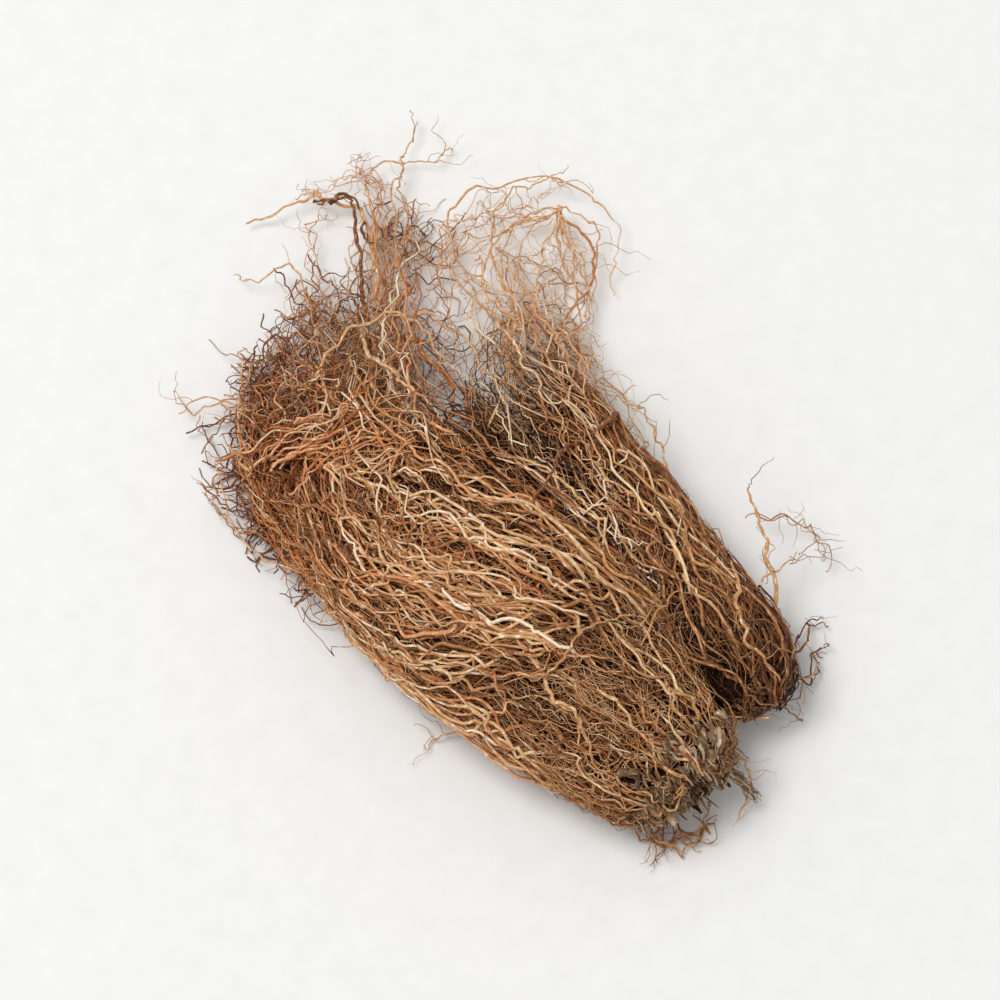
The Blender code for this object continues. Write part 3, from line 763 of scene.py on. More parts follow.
def scattered(lobe, count, points, length, lifts, look, spread, region, turns, free, curl):
    """Curly strands scattered over a lobe, headed about along it."""
    heading = np.radians(rng.normal(ALONG_LOBE, spread, count))
    offsets = walks(count, points, length, heading, curl, SCATTER_WOBBLE)
    y = rng.uniform(*region, count)[:, None] + offsets[..., 1]
    y = lobe.end + 2 - np.abs(lobe.end + 2 - y)
    y = lobe.start - 4 + np.abs(y - lobe.start + 4)
    half_width = np.interp(y[:, 0], lobe.ys, lobe.table[:, 1])
    first = np.radians(rng.uniform(*turns, count))[:, None]
    angle = first - offsets[..., 0] / half_width[:, None]
    proud = rng.uniform(*lifts, count)
    paths = lobe.side(y, angle, dipped(proud, points, free))
    return thinned(roughened(paths, look, None, normals_at(angle)), proud, THIN_LIMITS[lobe], THIN_KEPT)


PLAIN, RED, OLIVE = 0.0, 1.0, 2.0
THIN_MAT_TONE = 0.34


def hue_rows(count, red, olive):
    """A hue row for each strand: plain, red brown or olive."""
    draw = rng.random(count)
    return np.where(draw < red, RED, np.where(draw < red + olive, OLIVE, PLAIN))


# Tones by lift: painted shade that darkens the strands lying deeper in the mat.
def depth_shaded_tones(lift, low, high, spread=0.11):
    """Deeper strands are darker and higher ones paler: painted shade among the strands."""
    share = (lift - DEEP_LIFT[0]) / (TOP_LIFT[1] - DEEP_LIFT[0])
    return mixed(low, high, share) + rng.normal(0, spread, len(lift))


def reached(value, start, length):
    """How far values are past a start: 0 there, 1 a length further on. A negative length looks back."""
    return np.clip((value - start) / length, 0, 1)


def colour_and_shade_by_place(paths, tones, hues):
    """Tones and hues by place: redder to the far left, olive near the crown, darker on the right edge, the
    narrow lobe's side and its crown end as painted shade, darker on the left of the mat, and paler where it
    is thin.
    """
    x, y, _ = paths[:, paths.shape[1] // 2].T
    draw = rng.random(len(x))
    far_left = reached(y - x, 20, 100)
    narrow_side = reached(x, 4, 20) * reached(y, 40, -30)
    near_crown = reached(y, -80, -50)
    right_edge = reached(x, 34, 14) * reached(y, 20, -30)
    narrow_end = reached(x, 10, 10) * reached(y, -60, -30)
    left_mat = far_left * reached(y, 74, -20)
    # The darkening at the right edge, the narrow lobe's side and its crown end is painted shade on the side
    # away from the light.
    tones = tones - 0.02 * narrow_side - 0.1 * right_edge - 0.07 * narrow_end - 0.09 * left_mat
    # Where the mat thins out, no strand is darker than a floor tone, so there is less painted depth shade
    # there.
    tones = np.maximum(tones, THIN_MAT_TONE * reached(y, 5, 35))
    hues = np.where(draw < 0.36 * far_left, RED, hues)
    hues = np.where(draw > 1 - 0.08 * narrow_side - 0.2 * near_crown, OLIVE, hues)
    return tones, hues


def add_strands(group, paths, radius, tip, sides, tones, red=0.1, olive=0.06):
    """Put strands into a group with random radii and hues."""
    count, points = paths.shape[:2]
    radii = taper(count, points, rng.uniform(*radius, count), tip)
    tones, hues = colour_and_shade_by_place(paths, tones, hue_rows(count, red, olive))
    group.add(paths, radii, sides, tones, hues)


ALL_ROUND = (-100, 280)
THICK_SIDES, THIN_SIDES = 5, 3
# Wave lengths, wave sizes, kink and kink spacing, in mm
THICK_LOOK = ((42, 19, 9), (1.8, 0.9, 0.3), 0.13, 5.5)
MEDIUM_LOOK = ((28, 14, 7), (1.9, 1.2, 0.5), 0.18, 3.8)
FINE_LOOK = ((18, 9, 5), (1.4, 0.8, 0.35), 0.22, 3.5)

thick, medium, fine, wandering, deep, hair, crown_end = (
    Strands(name + "_roots", skin)
    for name in ("thick", "medium", "fine", "wandering", "deep", "hair", "crown_end")
)
MAT_TIP = 0.4

# Strands along the lobes' lines. Group, lobe and lines, then rows of count, points, run, lifts, look,
# bundle size, lines from and to, share of free ends, drift, radius, tone low and high.
GUIDED = [
    (thick, broad, BROAD_LINES, [
        (116, 44, (0.5, 0.9), (3.2, 5.6), THICK_LOOK, 3, (2, 11), 0.1, 0.08, (0.5, 0.88), (0.1, 0.66)),
        (70, 40, (0.5, 0.9), (1.4, 3.6), THICK_LOOK, 2, (0, 13), 0.1, 0.12, (0.48, 0.8), (0.14, 0.66)),
    ]),
    (thick, narrow, NARROW_LINES, [
        (50, 40, (0.5, 0.95), (3.0, 5.2), THICK_LOOK, 3, (1.5, 7.5), 0.1, 0.08, (0.46, 0.8), (0.1, 0.66)),
        (40, 38, (0.5, 0.95), (1.2, 3.4), THICK_LOOK, 2, (0, 9), 0.1, 0.1, (0.46, 0.76), (0.12, 0.66)),
    ]),
    (medium, broad, BROAD_LINES, [
        (340, 29, (0.3, 0.75), MIDDLE_LIFT, MEDIUM_LOOK, 5, (0, 13), 0.15, 0.16, (0.26, 0.5), (0.02, 0.48)),
    ]),
    (medium, narrow, NARROW_LINES, [
        (210, 27, (0.3, 0.8), MIDDLE_LIFT, MEDIUM_LOOK, 4, (0, 9), 0.15, 0.14, (0.24, 0.48), (0.02, 0.48)),
    ]),
    (fine, broad, BROAD_LINES, [
        (600, 19, (0.2, 0.5), HAIR_LIFT, FINE_LOOK, 4, (0.5, 12.5), 0.3, 0.3, (0.13, 0.24), (0.1, 0.7)),
    ]),
    (fine, narrow, NARROW_LINES, [
        (290, 19, (0.2, 0.55), HAIR_LIFT, FINE_LOOK, 4, (0.5, 8.5), 0.3, 0.26, (0.14, 0.25), (0.1, 0.74)),
    ]),
    (crown_end, broad, CROWN_LINES, [
        (44, 32, (0.6, 1.0), (1.6, 4.0), THICK_LOOK, 2, (0.5, 12.5), 0.1, 0.14, (0.5, 0.85), (0.34, 0.7)),
        (330, 22, (0.35, 0.85), (-0.4, 4.0), MEDIUM_LOOK, 4, (0, 13), 0.25, 0.22, (0.22, 0.44), (0.1, 0.7)),
        (360, 17, (0.25, 0.6), HAIR_LIFT, FINE_LOOK, 4, (0, 13), 0.4, 0.3, (0.13, 0.23), (0.2, 0.8)),
    ]),
    (crown_end, narrow, NARROW_LINES, [
        (26, 27, (0.3, 0.45), (1.0, 4.0), THICK_LOOK, 2, (0.5, 8.5), 0.1, 0.1, (0.5, 0.8), (0.36, 0.6)),
        (190, 19, (0.2, 0.4), (-0.6, 4.0), MEDIUM_LOOK, 4, (0, 9), 0.25, 0.2, (0.22, 0.44), (0.08, 0.54)),
        (220, 14, (0.12, 0.3), HAIR_LIFT, FINE_LOOK, 4, (0, 9), 0.4, 0.4, (0.13, 0.24), (0.32, 0.62)),
    ]),
]
for group, lobe, lines, rows in GUIDED:
    along = (0.0, 0.5) if lobe is narrow and group is crown_end else (0.0, 1.0)
    for count, points, run, lifts, look, bundle_size, between, free, drift, radius, tone in rows:
        sides = THICK_SIDES if look is THICK_LOOK else THIN_SIDES
        paths, proud = guided(
            lobe, lines, count, points, run, lifts, look, bundle_size, between, along, free, drift
        )
        add_strands(group, paths, radius, MAT_TIP, sides, depth_shaded_tones(proud, *tone))

# Scattered strands. Group, look and curl, then rows of lobe, count, points, length, lifts, spread
# of heading, region, turns, share of free ends, radius, tone low and high.
SCATTERED = [
    (wandering, MEDIUM_LOOK, 0.02, [
        (broad, 150, 21, (40, 90), (1.0, 4.2), 34, (-138, -50), ALL_ROUND, 0.25, (0.24, 0.46),
            (0.28, 0.64)),
        (broad, 130, 20, (35, 80), (0.5, 4.2), 30, (-60, 60), ALL_ROUND, 0.2, (0.2, 0.4), (0.24, 0.64)),
        (narrow, 130, 20, (30, 70), (0.5, 4.2), 30, (-128, 40), ALL_ROUND, 0.2, (0.2, 0.4), (0.3, 0.62)),
    ]),
    # The deep strands' near-black tones are painted shade inside the mat.
    (deep, MEDIUM_LOOK, 0.02, [
        (broad, 900, 13, (35, 80), DEEP_LIFT, 24, (-134, 26), ALL_ROUND, 0.3, (0.32, 0.62), (0.0, 0.18)),
        (narrow, 420, 13, (35, 70), DEEP_LIFT, 24, (-124, 2), ALL_ROUND, 0.3, (0.32, 0.62), (0.0, 0.2)),
    ]),
    (hair, FINE_LOOK, 0.05, [
        (broad, 880, 12, (14, 44), HAIR_LIFT, 60, (-137, 60), (-60, 240), 0.5, (0.1, 0.18), (0.1, 0.76)),
        (narrow, 400, 12, (14, 40), HAIR_LIFT, 60, (-128, 60), (-80, 240), 0.5, (0.1, 0.18), (0.1, 0.76)),
    ]),
    (hair, FINE_LOOK, 0.06, [
        (broad, 150, 11, (8, 24), (3.0, 5.8), 80, (-132, 60), (150, 215), 1.0, (0.1, 0.17), (0.46, 0.56)),
        (narrow, 110, 11, (8, 24), (3.0, 6.0), 80, (-128, 40), (-35, 35), 1.0, (0.1, 0.17), (0.46, 0.54)),
    ]),
]
for group, look, curl, rows in SCATTERED:
    for lobe, count, points, length, lifts, spread, region, turns, free, radius, tone in rows:
        paths, proud = scattered(lobe, count, points, length, lifts, look, spread, region, turns, free, curl)
        add_strands(group, paths, radius, MAT_TIP, THIN_SIDES, depth_shaded_tones(proud, *tone))

HOLLOW_LINING = 420


def hollow_lining(count, points):
    """Roots along the wall of the hollow, their dark tones painted shade inside it."""
    share = np.linspace(0.0, 0.92, points)[None, :]
    turn = rng.uniform(0, math.tau, (count, 1)) + rng.normal(0, 1.1, (count, 1)) * share
    shrink = np.sqrt(1 - share * share) * rng.uniform(0.74, 0.98, (count, 1))
    x = HOLLOW_CENTRE[0] + HOLLOW_RADII[0] * shrink * np.cos(turn)
    z = HOLLOW_CENTRE[2] + HOLLOW_RADII[2] * shrink * np.sin(turn)
    y = narrow.start + 1 + HOLLOW_RADII[1] * share + rng.normal(0, 1, (count, 1))
    return roughened(np.stack([x, y, z], axis=-1), FINE_LOOK)


paths = hollow_lining(HOLLOW_LINING, 11)
# The lining's dark tones are painted shade in the hollow.
tones = rng.normal(0.34, 0.12, HOLLOW_LINING)
add_strands(crown_end, paths, (0.25, 0.7), 0.7, THIN_SIDES, tones, 0.0, 0.12)


# The two fans of loose tips
TIP_HEIGHT = 10
HEIGHT_SHADE = 0.013
MIDDLE_HEIGHT = 9
FAN_LOOK = ((32, 13, 6), (2.2, 1.2, 0.55), 0.2, 2.8)
NET_LOOK = ((13, 6), (0.9, 0.45), 0.14, 2.4)
FAN_TONES = (0.34, 0.92)
LEAVING_LIFT = (0.5, 4.5)
SUNK = -3.0
PALE_SHARE = 0.16
PALER = 0.16


def tips(start, end, reach):
    """Tips some way from start to end, near the floor."""
    tip = start + (end - start) * rng.uniform(*reach, len(start))[:, None]
    tip[:, 2] = rng.uniform(0.5, TIP_HEIGHT, len(start)) * rng.random(len(start)) ** 0.5
    return tip


def halfway(start, tip, end, middle, arch, sway):
    """Places on the way to the tips, arched up and swayed sideways."""
    half = mixed(start, tip, rng.uniform(*middle, (len(start), 1)))
    half[:, 2] += rng.uniform(*arch, len(start))
    run = end - start
    side = np.stack([-run[:, 1], run[:, 0], np.zeros(len(start))], axis=1)
    return half + side * rng.normal(0, sway, (len(start), 1))


def fan_strands(foot, edge, count, points, reach, turn):
    """Strands from the mat to a fan's edge."""
    foot, edge = np.array(foot, float), np.array(edge, float)
    last = len(foot) - 1
    share = rng.uniform(0, 1, count)
    turned = np.clip(share + rng.normal(0, turn, count), 0, 1)
    start = curve_points(foot, share * last)
    end = curve_points(edge, turned * last)
    tip = tips(start, end, reach)
    back = start - (end - start) * rng.uniform(0.1, 0.6, (count, 1))
    back[:, 2] = start[:, 2] + rng.uniform(-6, 2, count)
    half = halfway(start, tip, end, (0.4, 0.6), (-2, 7), 0.1)
    return resampled(np.stack([back, start, half, tip], axis=1), points)


def net_strands(foot, edge, count, points, length, inner, curl, heights):
    """Curly strands in every direction, all over a fan."""
    foot, edge = np.array(foot, float), np.array(edge, float)
    last = len(foot) - 1
    share = rng.uniform(0, 1, count)
    out = rng.uniform(inner, 0.92, count)
    centre = mixed(curve_points(foot, share * last), curve_points(edge, share * last), out[:, None])
    heading = rng.uniform(0, math.tau, count)
    offsets = walks(count, points, length, heading, curl, 0.1)
    offsets -= offsets.mean(axis=1, keepdims=True)
    height = centre[:, 2] * rng.uniform(*heights, count)
    slope = rng.normal(0, 4, (count, 1)) * np.linspace(-1, 1, points)[None, :]
    return np.concatenate([centre[:, None, :2] + offsets, (height[:, None] + slope)[..., None]], axis=2)


def leaving(lobe, lines, between, edge, count, points, along, reach, turn):
    """Strands that follow a lobe's lines near its end and then spread out to a fan's edge."""
    edge = np.array(edge, float)
    share = rng.uniform(0, 1, count)
    onward = rng.uniform(*along, count)[:, None] + np.array([0.0, 0.12, 0.24])
    y, angle = on_lines(line_table(lines), mixed(between[0], between[1], share), onward)
    lift = rng.uniform(*LEAVING_LIFT, (count, 3))
    lift[:, 0] = SUNK
    stops = np.moveaxis(lobe.side(y, angle, lift), 1, 0)
    turned = np.clip(share + rng.normal(0, turn, count), 0, 1)
    end = curve_points(edge, turned * (len(edge) - 1))
    start = stops[-1]
    tip = tips(start, end, reach)
    half = halfway(start, tip, end, (0.35, 0.55), (-2, 5), 0.09)
    return resampled(np.stack([*stops, half, tip], axis=1), points)


def add_fan(group, paths, look, radius, tip, sides, tone, red):
    """Put a fan's strands into a group, leaving out those in the gap between the fans, the lower strands
    darkened as painted shade.
    """
    paths = roughened(paths, look)
    paths = paths[clear_of_gaps(paths)]
    # Lower strands darker and higher ones paler: painted shade from the strands above.
    above = np.clip(paths[..., 2].mean(axis=1) - MIDDLE_HEIGHT, -9, 7)
    tones = rng.normal(*tone, len(paths)) + HEIGHT_SHADE * above
    tones += PALER * (rng.random(len(paths)) < PALE_SHARE)
    add_strands(group, paths, radius, tip, sides, np.clip(tones, *FAN_TONES), red)


fan = Strands("fan_roots", skin)
COLUMN_EDGE = [(18, 124, 10), (27, 130, 12), (36, 127, 12), (42, 119, 10)]
# Lobe, lines, lines from and to, edge and share along, then rows of count, points, reach, turn,
# radius, sides, tone and its spread, share of red.
LEAVING = [
    (broad, BROAD_LINES, (3.6, 10.6), BROAD_FAN_EDGE, (0.3, 0.72), [
        (32, 46, (0.5, 0.98), 0.06, (0.42, 0.78), THICK_SIDES, (0.62, 0.12), 0.3),
        (110, 37, (0.4, 0.98), 0.08, (0.22, 0.44), THIN_SIDES, (0.54, 0.17), 0.3),
    ]),
    (narrow, NARROW_LINES, (2.4, 7.2), NARROW_FAN_EDGE, (0.2, 0.66), [
        (22, 44, (0.5, 1.0), 0.06, (0.34, 0.62), THICK_SIDES, (0.74, 0.13), 0.2),
        (34, 37, (0.4, 1.0), 0.07, (0.18, 0.36), THIN_SIDES, (0.72, 0.16), 0.2),
    ]),
    (broad, BROAD_LINES, (5.6, 9.4), COLUMN_EDGE, (0.4, 0.74), [
        (18, 38, (0.5, 1.0), 0.1, (0.45, 0.75), THICK_SIDES, (0.6, 0.12), 0.25),
        (50, 36, (0.5, 1.0), 0.14, (0.24, 0.42), THIN_SIDES, (0.54, 0.16), 0.25),
    ]),
]
for lobe, lines, between, edge, along, rows in LEAVING:
    for count, points, reach, turn, radius, sides, tone, red in rows:
        paths = leaving(lobe, lines, between, edge, count, points, along, reach, turn)
        add_fan(fan, paths, FAN_LOOK, radius, 0.45, sides, tone, red)
BROAD_FAN = (BROAD_FAN_FOOT, BROAD_FAN_EDGE)
NARROW_FAN = (NARROW_FAN_FOOT, NARROW_FAN_EDGE)
# Fan, count, points, reach, turn, radius, sides, tone and its spread, share of red
SPREADING = [
    (BROAD_FAN, 18, 34, (0.6, 1.0), 0.05, (0.5, 0.85), THICK_SIDES, (0.66, 0.08), 0.35),
    (NARROW_FAN, 8, 32, (0.6, 1.0), 0.06, (0.45, 0.8), THICK_SIDES, (0.74, 0.06), 0.1),
    (BROAD_FAN, 66, 27, (0.45, 1.0), 0.09, (0.24, 0.46), THIN_SIDES, (0.56, 0.14), 0.3),
    (NARROW_FAN, 13, 26, (0.45, 1.0), 0.1, (0.22, 0.4), THIN_SIDES, (0.7, 0.14), 0.15),
]
for place, count, points, reach, turn, radius, sides, tone, red in SPREADING:
    paths = fan_strands(*place, count, points, reach, turn)
    add_fan(fan, paths, FAN_LOOK, radius, 0.45, sides, tone, red)

net = Strands("root_net", skin)
# Fan, count, points, length, share of the way out where they start, curl, heights, radius, tone and
# its spread, share of red
LEFT_FAN = (BROAD_FAN_FOOT[1:5], BROAD_FAN_EDGE[1:5])
MIDDLE_FAN = (BROAD_FAN_FOOT[2:7], BROAD_FAN_EDGE[2:7])
NETS = [
    (BROAD_FAN, 230, 24, (22, 60), 0.06, 0.09, (0.1, 0.9), (0.22, 0.42), (0.52, 0.17), 0.35),
    (NARROW_FAN, 26, 22, (20, 50), 0.06, 0.08, (0.1, 0.9), (0.18, 0.36), (0.7, 0.16), 0.25),
    (BROAD_FAN, 230, 16, (10, 34), 0.0, 0.14, (0.1, 1.0), (0.13, 0.23), (0.54, 0.18), 0.3),
    (NARROW_FAN, 38, 15, (10, 30), 0.0, 0.14, (0.1, 1.0), (0.12, 0.2), (0.78, 0.13), 0.25),
    (LEFT_FAN, 130, 20, (25, 55), 0.0, 0.08, (0.05, 0.45), (0.26, 0.5), (0.38, 0.12), 0.45),
    (MIDDLE_FAN, 250, 18, (12, 34), 0.45, 0.13, (0.1, 1.3), (0.2, 0.42), (0.44, 0.14), 0.35),
]
for place, count, points, length, inner, curl, heights, radius, tone, red in NETS:
    paths = net_strands(*place, count, points, length, inner, curl, heights)
    add_fan(net, paths, NET_LOOK, radius, 0.6, THIN_SIDES, tone, red)

# Long roots that sweep round the far edge of the broad fan, and others that cross it: a line, the
# place it moves towards, count, furthest share of the way, radius and tone
SWEEP = [
    (-76, -44, 16), (-81, -16, 16), (-84, 12, 14), (-86, 40, 12), (-80, 68, 11), (-66, 92, 10),
        (-48, 106, 9),
]
CROSSING = [(-92, 72, 8), (-80, 76, 13), (-64, 74, 17), (-48, 68, 24), (-32, 64, 28), (-18, 60, 29),
    (-6, 50, 34)]
SWEEPING = [
    (SWEEP, (-36, 20, 20), 34, 0.24, (0.35, 0.75), (0.62, 0.08)),
    (CROSSING, (-34, 4, 58), 46, 0.62, (0.25, 0.62), (0.64, 0.1)),
]


def sweeping(line, centre, count, points, furthest):
    """Roots that follow a line, each some way from it towards a place."""
    path = np.array(line, float)
    first = rng.uniform(0, 3.4, (count, 1))
    places = first + rng.uniform(1.4, 3.2, (count, 1)) * np.linspace(0, 1, points)[None, :]
    along = np.stack([curve_points(path, place) for place in np.clip(places, 0, len(path) - 1)])
    turned = rng.normal(0, 0.04, (count, 1, 1)) * np.linspace(-1, 1, points)[None, :, None]
    return mixed(along, np.array(centre, float), rng.uniform(0.0, furthest, (count, 1, 1)) + turned)


for (line, centre, count, furthest, radius, tone) in SWEEPING:
    paths = sweeping(line, centre, count, 38, furthest)
    add_fan(fan, paths, THICK_LOOK, radius, 0.4, THICK_SIDES, tone, 0.35)


# The long loose roots, with small side roots
LOOSE_POINTS = 52
LOOSE_SIDES = 6
STOUT_RADIUS, SLIM_RADIUS, ARC_RADIUS = 0.95, 0.46, 0.62
KNOT_POINTS = 16
KNOT_SIDES = 7
WISP_POINTS = 40
WISP_SIDES = 5
NEAR_CROWN = -100
SIDE_POINTS = 11
LOOSE_LOOK = ((24, 11, 5), (0.7, 0.45, 0.2), 0.2, 5.0)
LAID_LOOK = ((24, 12, 6), (0.9, 0.6, 0.3), 0.18, 3.5)
DARK_LOOSE = {"dark_twist", "crossing", "rim_arc", "right_heel"}
MAT_ARC = [(-41, 80, 18), (-26, 86, 20), (-16, 89, 20), (1, 87, 20), (7, 79, 20), (9, 68, 22), (6, 55, 24)]
KNOTS = [
    ([(12, 139, 11), (15, 141, 12), (18, 140, 12), (20, 136, 12), (20, 131, 11)], 0.85),
    ([(7, 144, 9), (10, 143, 10), (13, 140, 11)], 0.55),
    ([(17, 126, 12), (15, 121, 12), (15, 115, 11)], 0.6),
]
# The roots that stand out most on the mat: x, y, height along each, then radius, tone and hue row.
LAID = [
    ([(-54, 46, 31), (-49, 25, 43), (-37, 5, 51), (-25, -2, 53), (-13, -21, 52), (-5, -28, 50),
          (-3, -39, 49)], 0.8, 0.78, 0),
    ([(-76, 16, 33), (-69, 8, 43), (-66, -1, 47), (-67, -14, 48), (-65, -25, 50), (-57, -46, 53),
          (-47, -68, 53)], 0.85, 0.76, 0),
    ([(-55, 10, 48), (-59, -2, 51), (-55, -10, 53), (-52, -17, 54), (-44, -25, 55), (-41, -36, 56),
          (-42, -43, 54)], 0.7, 0.72, 0),
    ([(-43, -64, 53), (-45, -83, 52), (-43, -94, 50), (-46, -108, 44)], 0.9, 0.72, 0),
    ([(-51, -69, 52), (-42, -77, 55), (-28, -73, 56), (-15, -72, 55), (-2, -75, 51), (1, -84, 49),
          (0, -92, 46)], 0.6, 0.62, 0),
    ([(-56, -58, 50), (-60, -70, 48), (-60, -84, 43)], 0.6, 0.66, 1),
    ([(-84, 5, 22), (-83, -10, 22), (-82, -24, 33), (-78, -37, 41), (-68, -49, 48),
          (-61, -60, 50)], 0.85, 0.78, 0),
    ([(3, 4, 38), (9, -9, 40), (11, -20, 43), (11, -35, 44), (8, -46, 44), (8, -57, 43),
          (7, -67, 42)], 0.7, 0.8, 2),
    ([(-17, -52, 55), (-10, -58, 53), (-6, -65, 51), (-3, -74, 49), (-1, -84, 48), (-5, -98, 48),
          (-14, -118, 47), (-16, -131, 44)], 0.75, 0.72, 0),
    ([(-30, -91, 52), (-27, -100, 52), (-27, -109, 51), (-27, -117, 50), (-26, -124, 48),
          (-27, -134, 41)], 0.75, 0.68, 0),
    ([(-44, -86, 51), (-43, -97, 49), (-43, -105, 47), (-47, -112, 42), (-51, -120, 33)], 0.8, 0.66, 0),
    ([(44, -77, 38), (38, -89, 43), (33, -94, 45), (31, -101, 45), (28, -109, 43), (31, -118, 38),
          (32, -126, 22), (31, -128, 13)], 0.95, 0.66, 0),
    ([(-5, -87, 50), (8, -79, 46), (16, -78, 48), (26, -84, 47)], 0.6, 0.6, 0),
    ([(4, -95, 43), (12, -103, 41), (15, -111, 39), (17, -119, 37), (20, -125, 34),
          (26, -129, 26)], 0.6, 0.5, 0),
    ([(-85, 78, 12), (-73, 73, 14), (-62, 71, 15), (-50, 67, 17), (-45, 62, 25), (-34, 62, 28),
          (-29, 65, 27), (-20, 64, 26)], 0.75, 0.64, 1),
    ([(-34, 58, 30), (-32, 51, 34), (-35, 39, 39), (-33, 30, 43), (-33, 20, 47),
          (-35, 13, 49)], 0.85, 0.68, 1),
    ([(-10, 90, 14), (-14, 76, 22), (-13, 64, 28), (-12, 54, 32), (-11, 41, 37),
          (-11, 30, 41)], 0.8, 0.74, 0),
    ([(-57, 74, 14), (-53, 79, 17), (-52, 84, 17), (-46, 89, 15), (-40, 89, 13)], 0.45, 0.8, 2),
    ([(-57, 66, 16), (-57, 50, 28), (-51, 40, 36), (-45, 30, 42), (-39, 22, 47)], 0.85, 0.68, 1),
    ([(4, 89, 12), (12, 79, 17), (18, 72, 16), (20, 61, 16), (18, 49, 19), (18, 36, 30),
          (19, 26, 36)], 0.7, 0.74, 0),
    ([(36, 60, 18), (32, 52, 25), (31, 43, 30), (28, 34, 35), (27, 25, 38), (25, 13, 42),
          (23, 0, 44)], 0.75, 0.76, 0),
    ([(51, 58, 20), (46, 46, 27), (47, 37, 29), (43, 28, 34), (39, 17, 38)], 0.6, 0.74, 1),
    ([(50, 42, 24), (51, 30, 23), (50, 19, 24), (55, 10, 14), (58, 0, 12)], 0.5, 0.72, 0),
]


def side_roots(parents, each, points, length):
    """Small roots that leave longer ones at a slant."""
    strands, count = parents.shape[:2]
    parent = np.repeat(np.arange(strands), each)
    place = rng.integers(count // 5, count - 3, len(parent))
    foot = parents[parent, place]
    ahead = parents[parent, place + 2] - foot
    slant = rng.choice([-1.0, 1.0], len(parent)) * rng.uniform(0.4, 1.2, len(parent))
    heading = np.arctan2(ahead[:, 1], ahead[:, 0]) + slant
    offsets = walks(len(parent), points, length, heading, 0.06, 0.15)
    rise = rng.normal(0, 1.5, (len(parent), 1)) * np.linspace(0, 1, points)[None, :]
    return np.concatenate([foot[:, None, :2] + offsets, (foot[:, 2:] + rise)[..., None]], axis=2)


def add_side_roots(group, parents, each, length, radius, tone):
    """Put side roots into a group."""
    paths = roughened(side_roots(parents, each, SIDE_POINTS, length), NET_LOOK)
    add_strands(group, paths, radius, 0.5, THIN_SIDES, rng.normal(tone, 0.07, len(paths)), 0.1)


loose = Strands("loose_roots", skin)
for loose_name, controls in LOOSE.items():
    radius = STOUT_RADIUS if loose_name in STOUT_LOOSE else SLIM_RADIUS
    paths = roughened(resampled([controls], LOOSE_POINTS), LOOSE_LOOK)
    radii = taper(1, LOOSE_POINTS, np.array([radius]), 0.45, 0.2)
    dark = loose_name in DARK_LOOSE
    loose.add(paths, radii, LOOSE_SIDES, np.array([0.38 if dark else 0.7]), np.array([PLAIN]))
    add_side_roots(loose, paths, 4, (6, 22), (0.13, 0.24), 0.5 if dark else 0.68)
paths = roughened(resampled([MAT_ARC], LOOSE_POINTS), LOOSE_LOOK)
radii = taper(1, LOOSE_POINTS, np.array([ARC_RADIUS]), 0.7)
loose.add(paths, radii, LOOSE_SIDES, np.array([0.72]), np.array([PLAIN]))
for controls, radius in KNOTS:
    paths = roughened(resampled([controls], KNOT_POINTS), NET_LOOK)
    radii = taper(1, KNOT_POINTS, np.array([radius]), 0.35, 0.4)
    loose.add(paths, radii, KNOT_SIDES, np.array([0.32]), np.array([PLAIN]))
for controls, radius, tone, hue in LAID:
    paths = roughened(resampled([controls], LOOSE_POINTS), LAID_LOOK)
    grown = np.clip(np.linspace(0.4, 8, LOOSE_POINTS), 0, 1)
    radii = grown * taper(1, LOOSE_POINTS, np.array([radius]), 0.3, 0.16)
    loose.add(paths, radii, LOOSE_SIDES, np.array([tone]), np.array([float(hue)]))
    add_side_roots(loose, paths, 3, (6, 20), (0.13, 0.26), tone - 0.04)

wisps = Strands("wisp_roots", skin)
# Radius, tone, then number, length and tone of the side roots: brown ends at the crown, pale ones elsewhere
BROWN_WISP = ((0.32, 0.56), 0.52, 2, (4, 12), 0.52)
PALE_WISP = ((0.2, 0.34), 0.7, 4, (5, 18), 0.66)
for controls in WISPS:
    radius, tone, each, length, side_tone = BROWN_WISP if controls[0][1] < NEAR_CROWN else PALE_WISP
    paths = roughened(resampled([controls] * 2, WISP_POINTS), FINE_LOOK)
    paths[1:, :, :2] += rng.normal(0, 2, (1, 1, 2))
    add_strands(wisps, paths, radius, 0.5, WISP_SIDES, rng.normal(tone, 0.05, 2), 0.1)
    add_side_roots(wisps, paths, each, length, (0.11, 0.18), side_tone)
hub, ends = np.array(STAR_HUB, float), np.array(STAR_ENDS, float)
star = np.stack([np.broadcast_to(hub, ends.shape), mixed(hub, ends, 0.5), ends], axis=1)
star[:, 1, :2] += rng.normal(0, 4, (len(star), 2))
paths = roughened(resampled(star, WISP_POINTS), LOOSE_LOOK)
add_strands(wisps, paths, (0.28, 0.6), 0.7, WISP_SIDES, rng.normal(0.72, 0.06, len(paths)), 0.1)
add_side_roots(wisps, paths, 6, (6, 26), (0.12, 0.24), 0.72)


# The crown
CROWN_AXIS = (-20, 24)
CROWN_RADII = (19.5, 15.0)
CROWN_FACE = -136.0
FACE_RINGS = 26
FACE_SIDES = 90
FACE_UV_RADIUS = 0.36
BACK_UV_RADIUS = 0.46
PIT_SIZE = 0.7
PIT_WAVE = 6.4
RIM_DROP = 9.0
FACE_DEPTH = 12
STUB_BATCHES = 4
STUBS_EACH = 9
STUB_SIDES = 7
STUB_POINTS = 7
FIBRE_POINTS = 10
FIBRE_COUNT = 420
RIM_COUNT = 34
RIM_POINTS = 30
CROWN_LOOK = ((12, 6), (0.5, 0.25), 0.2, 3.0)


def in_crown(across, y, up):
    """Places in the crown: shares of its radii across and up from its axis, at y."""
    x = CROWN_AXIS[0] + CROWN_RADII[0] * across
    z = CROWN_AXIS[1] + CROWN_RADII[1] * up
    return np.stack([x, np.broadcast_to(y, x.shape), z], axis=-1)


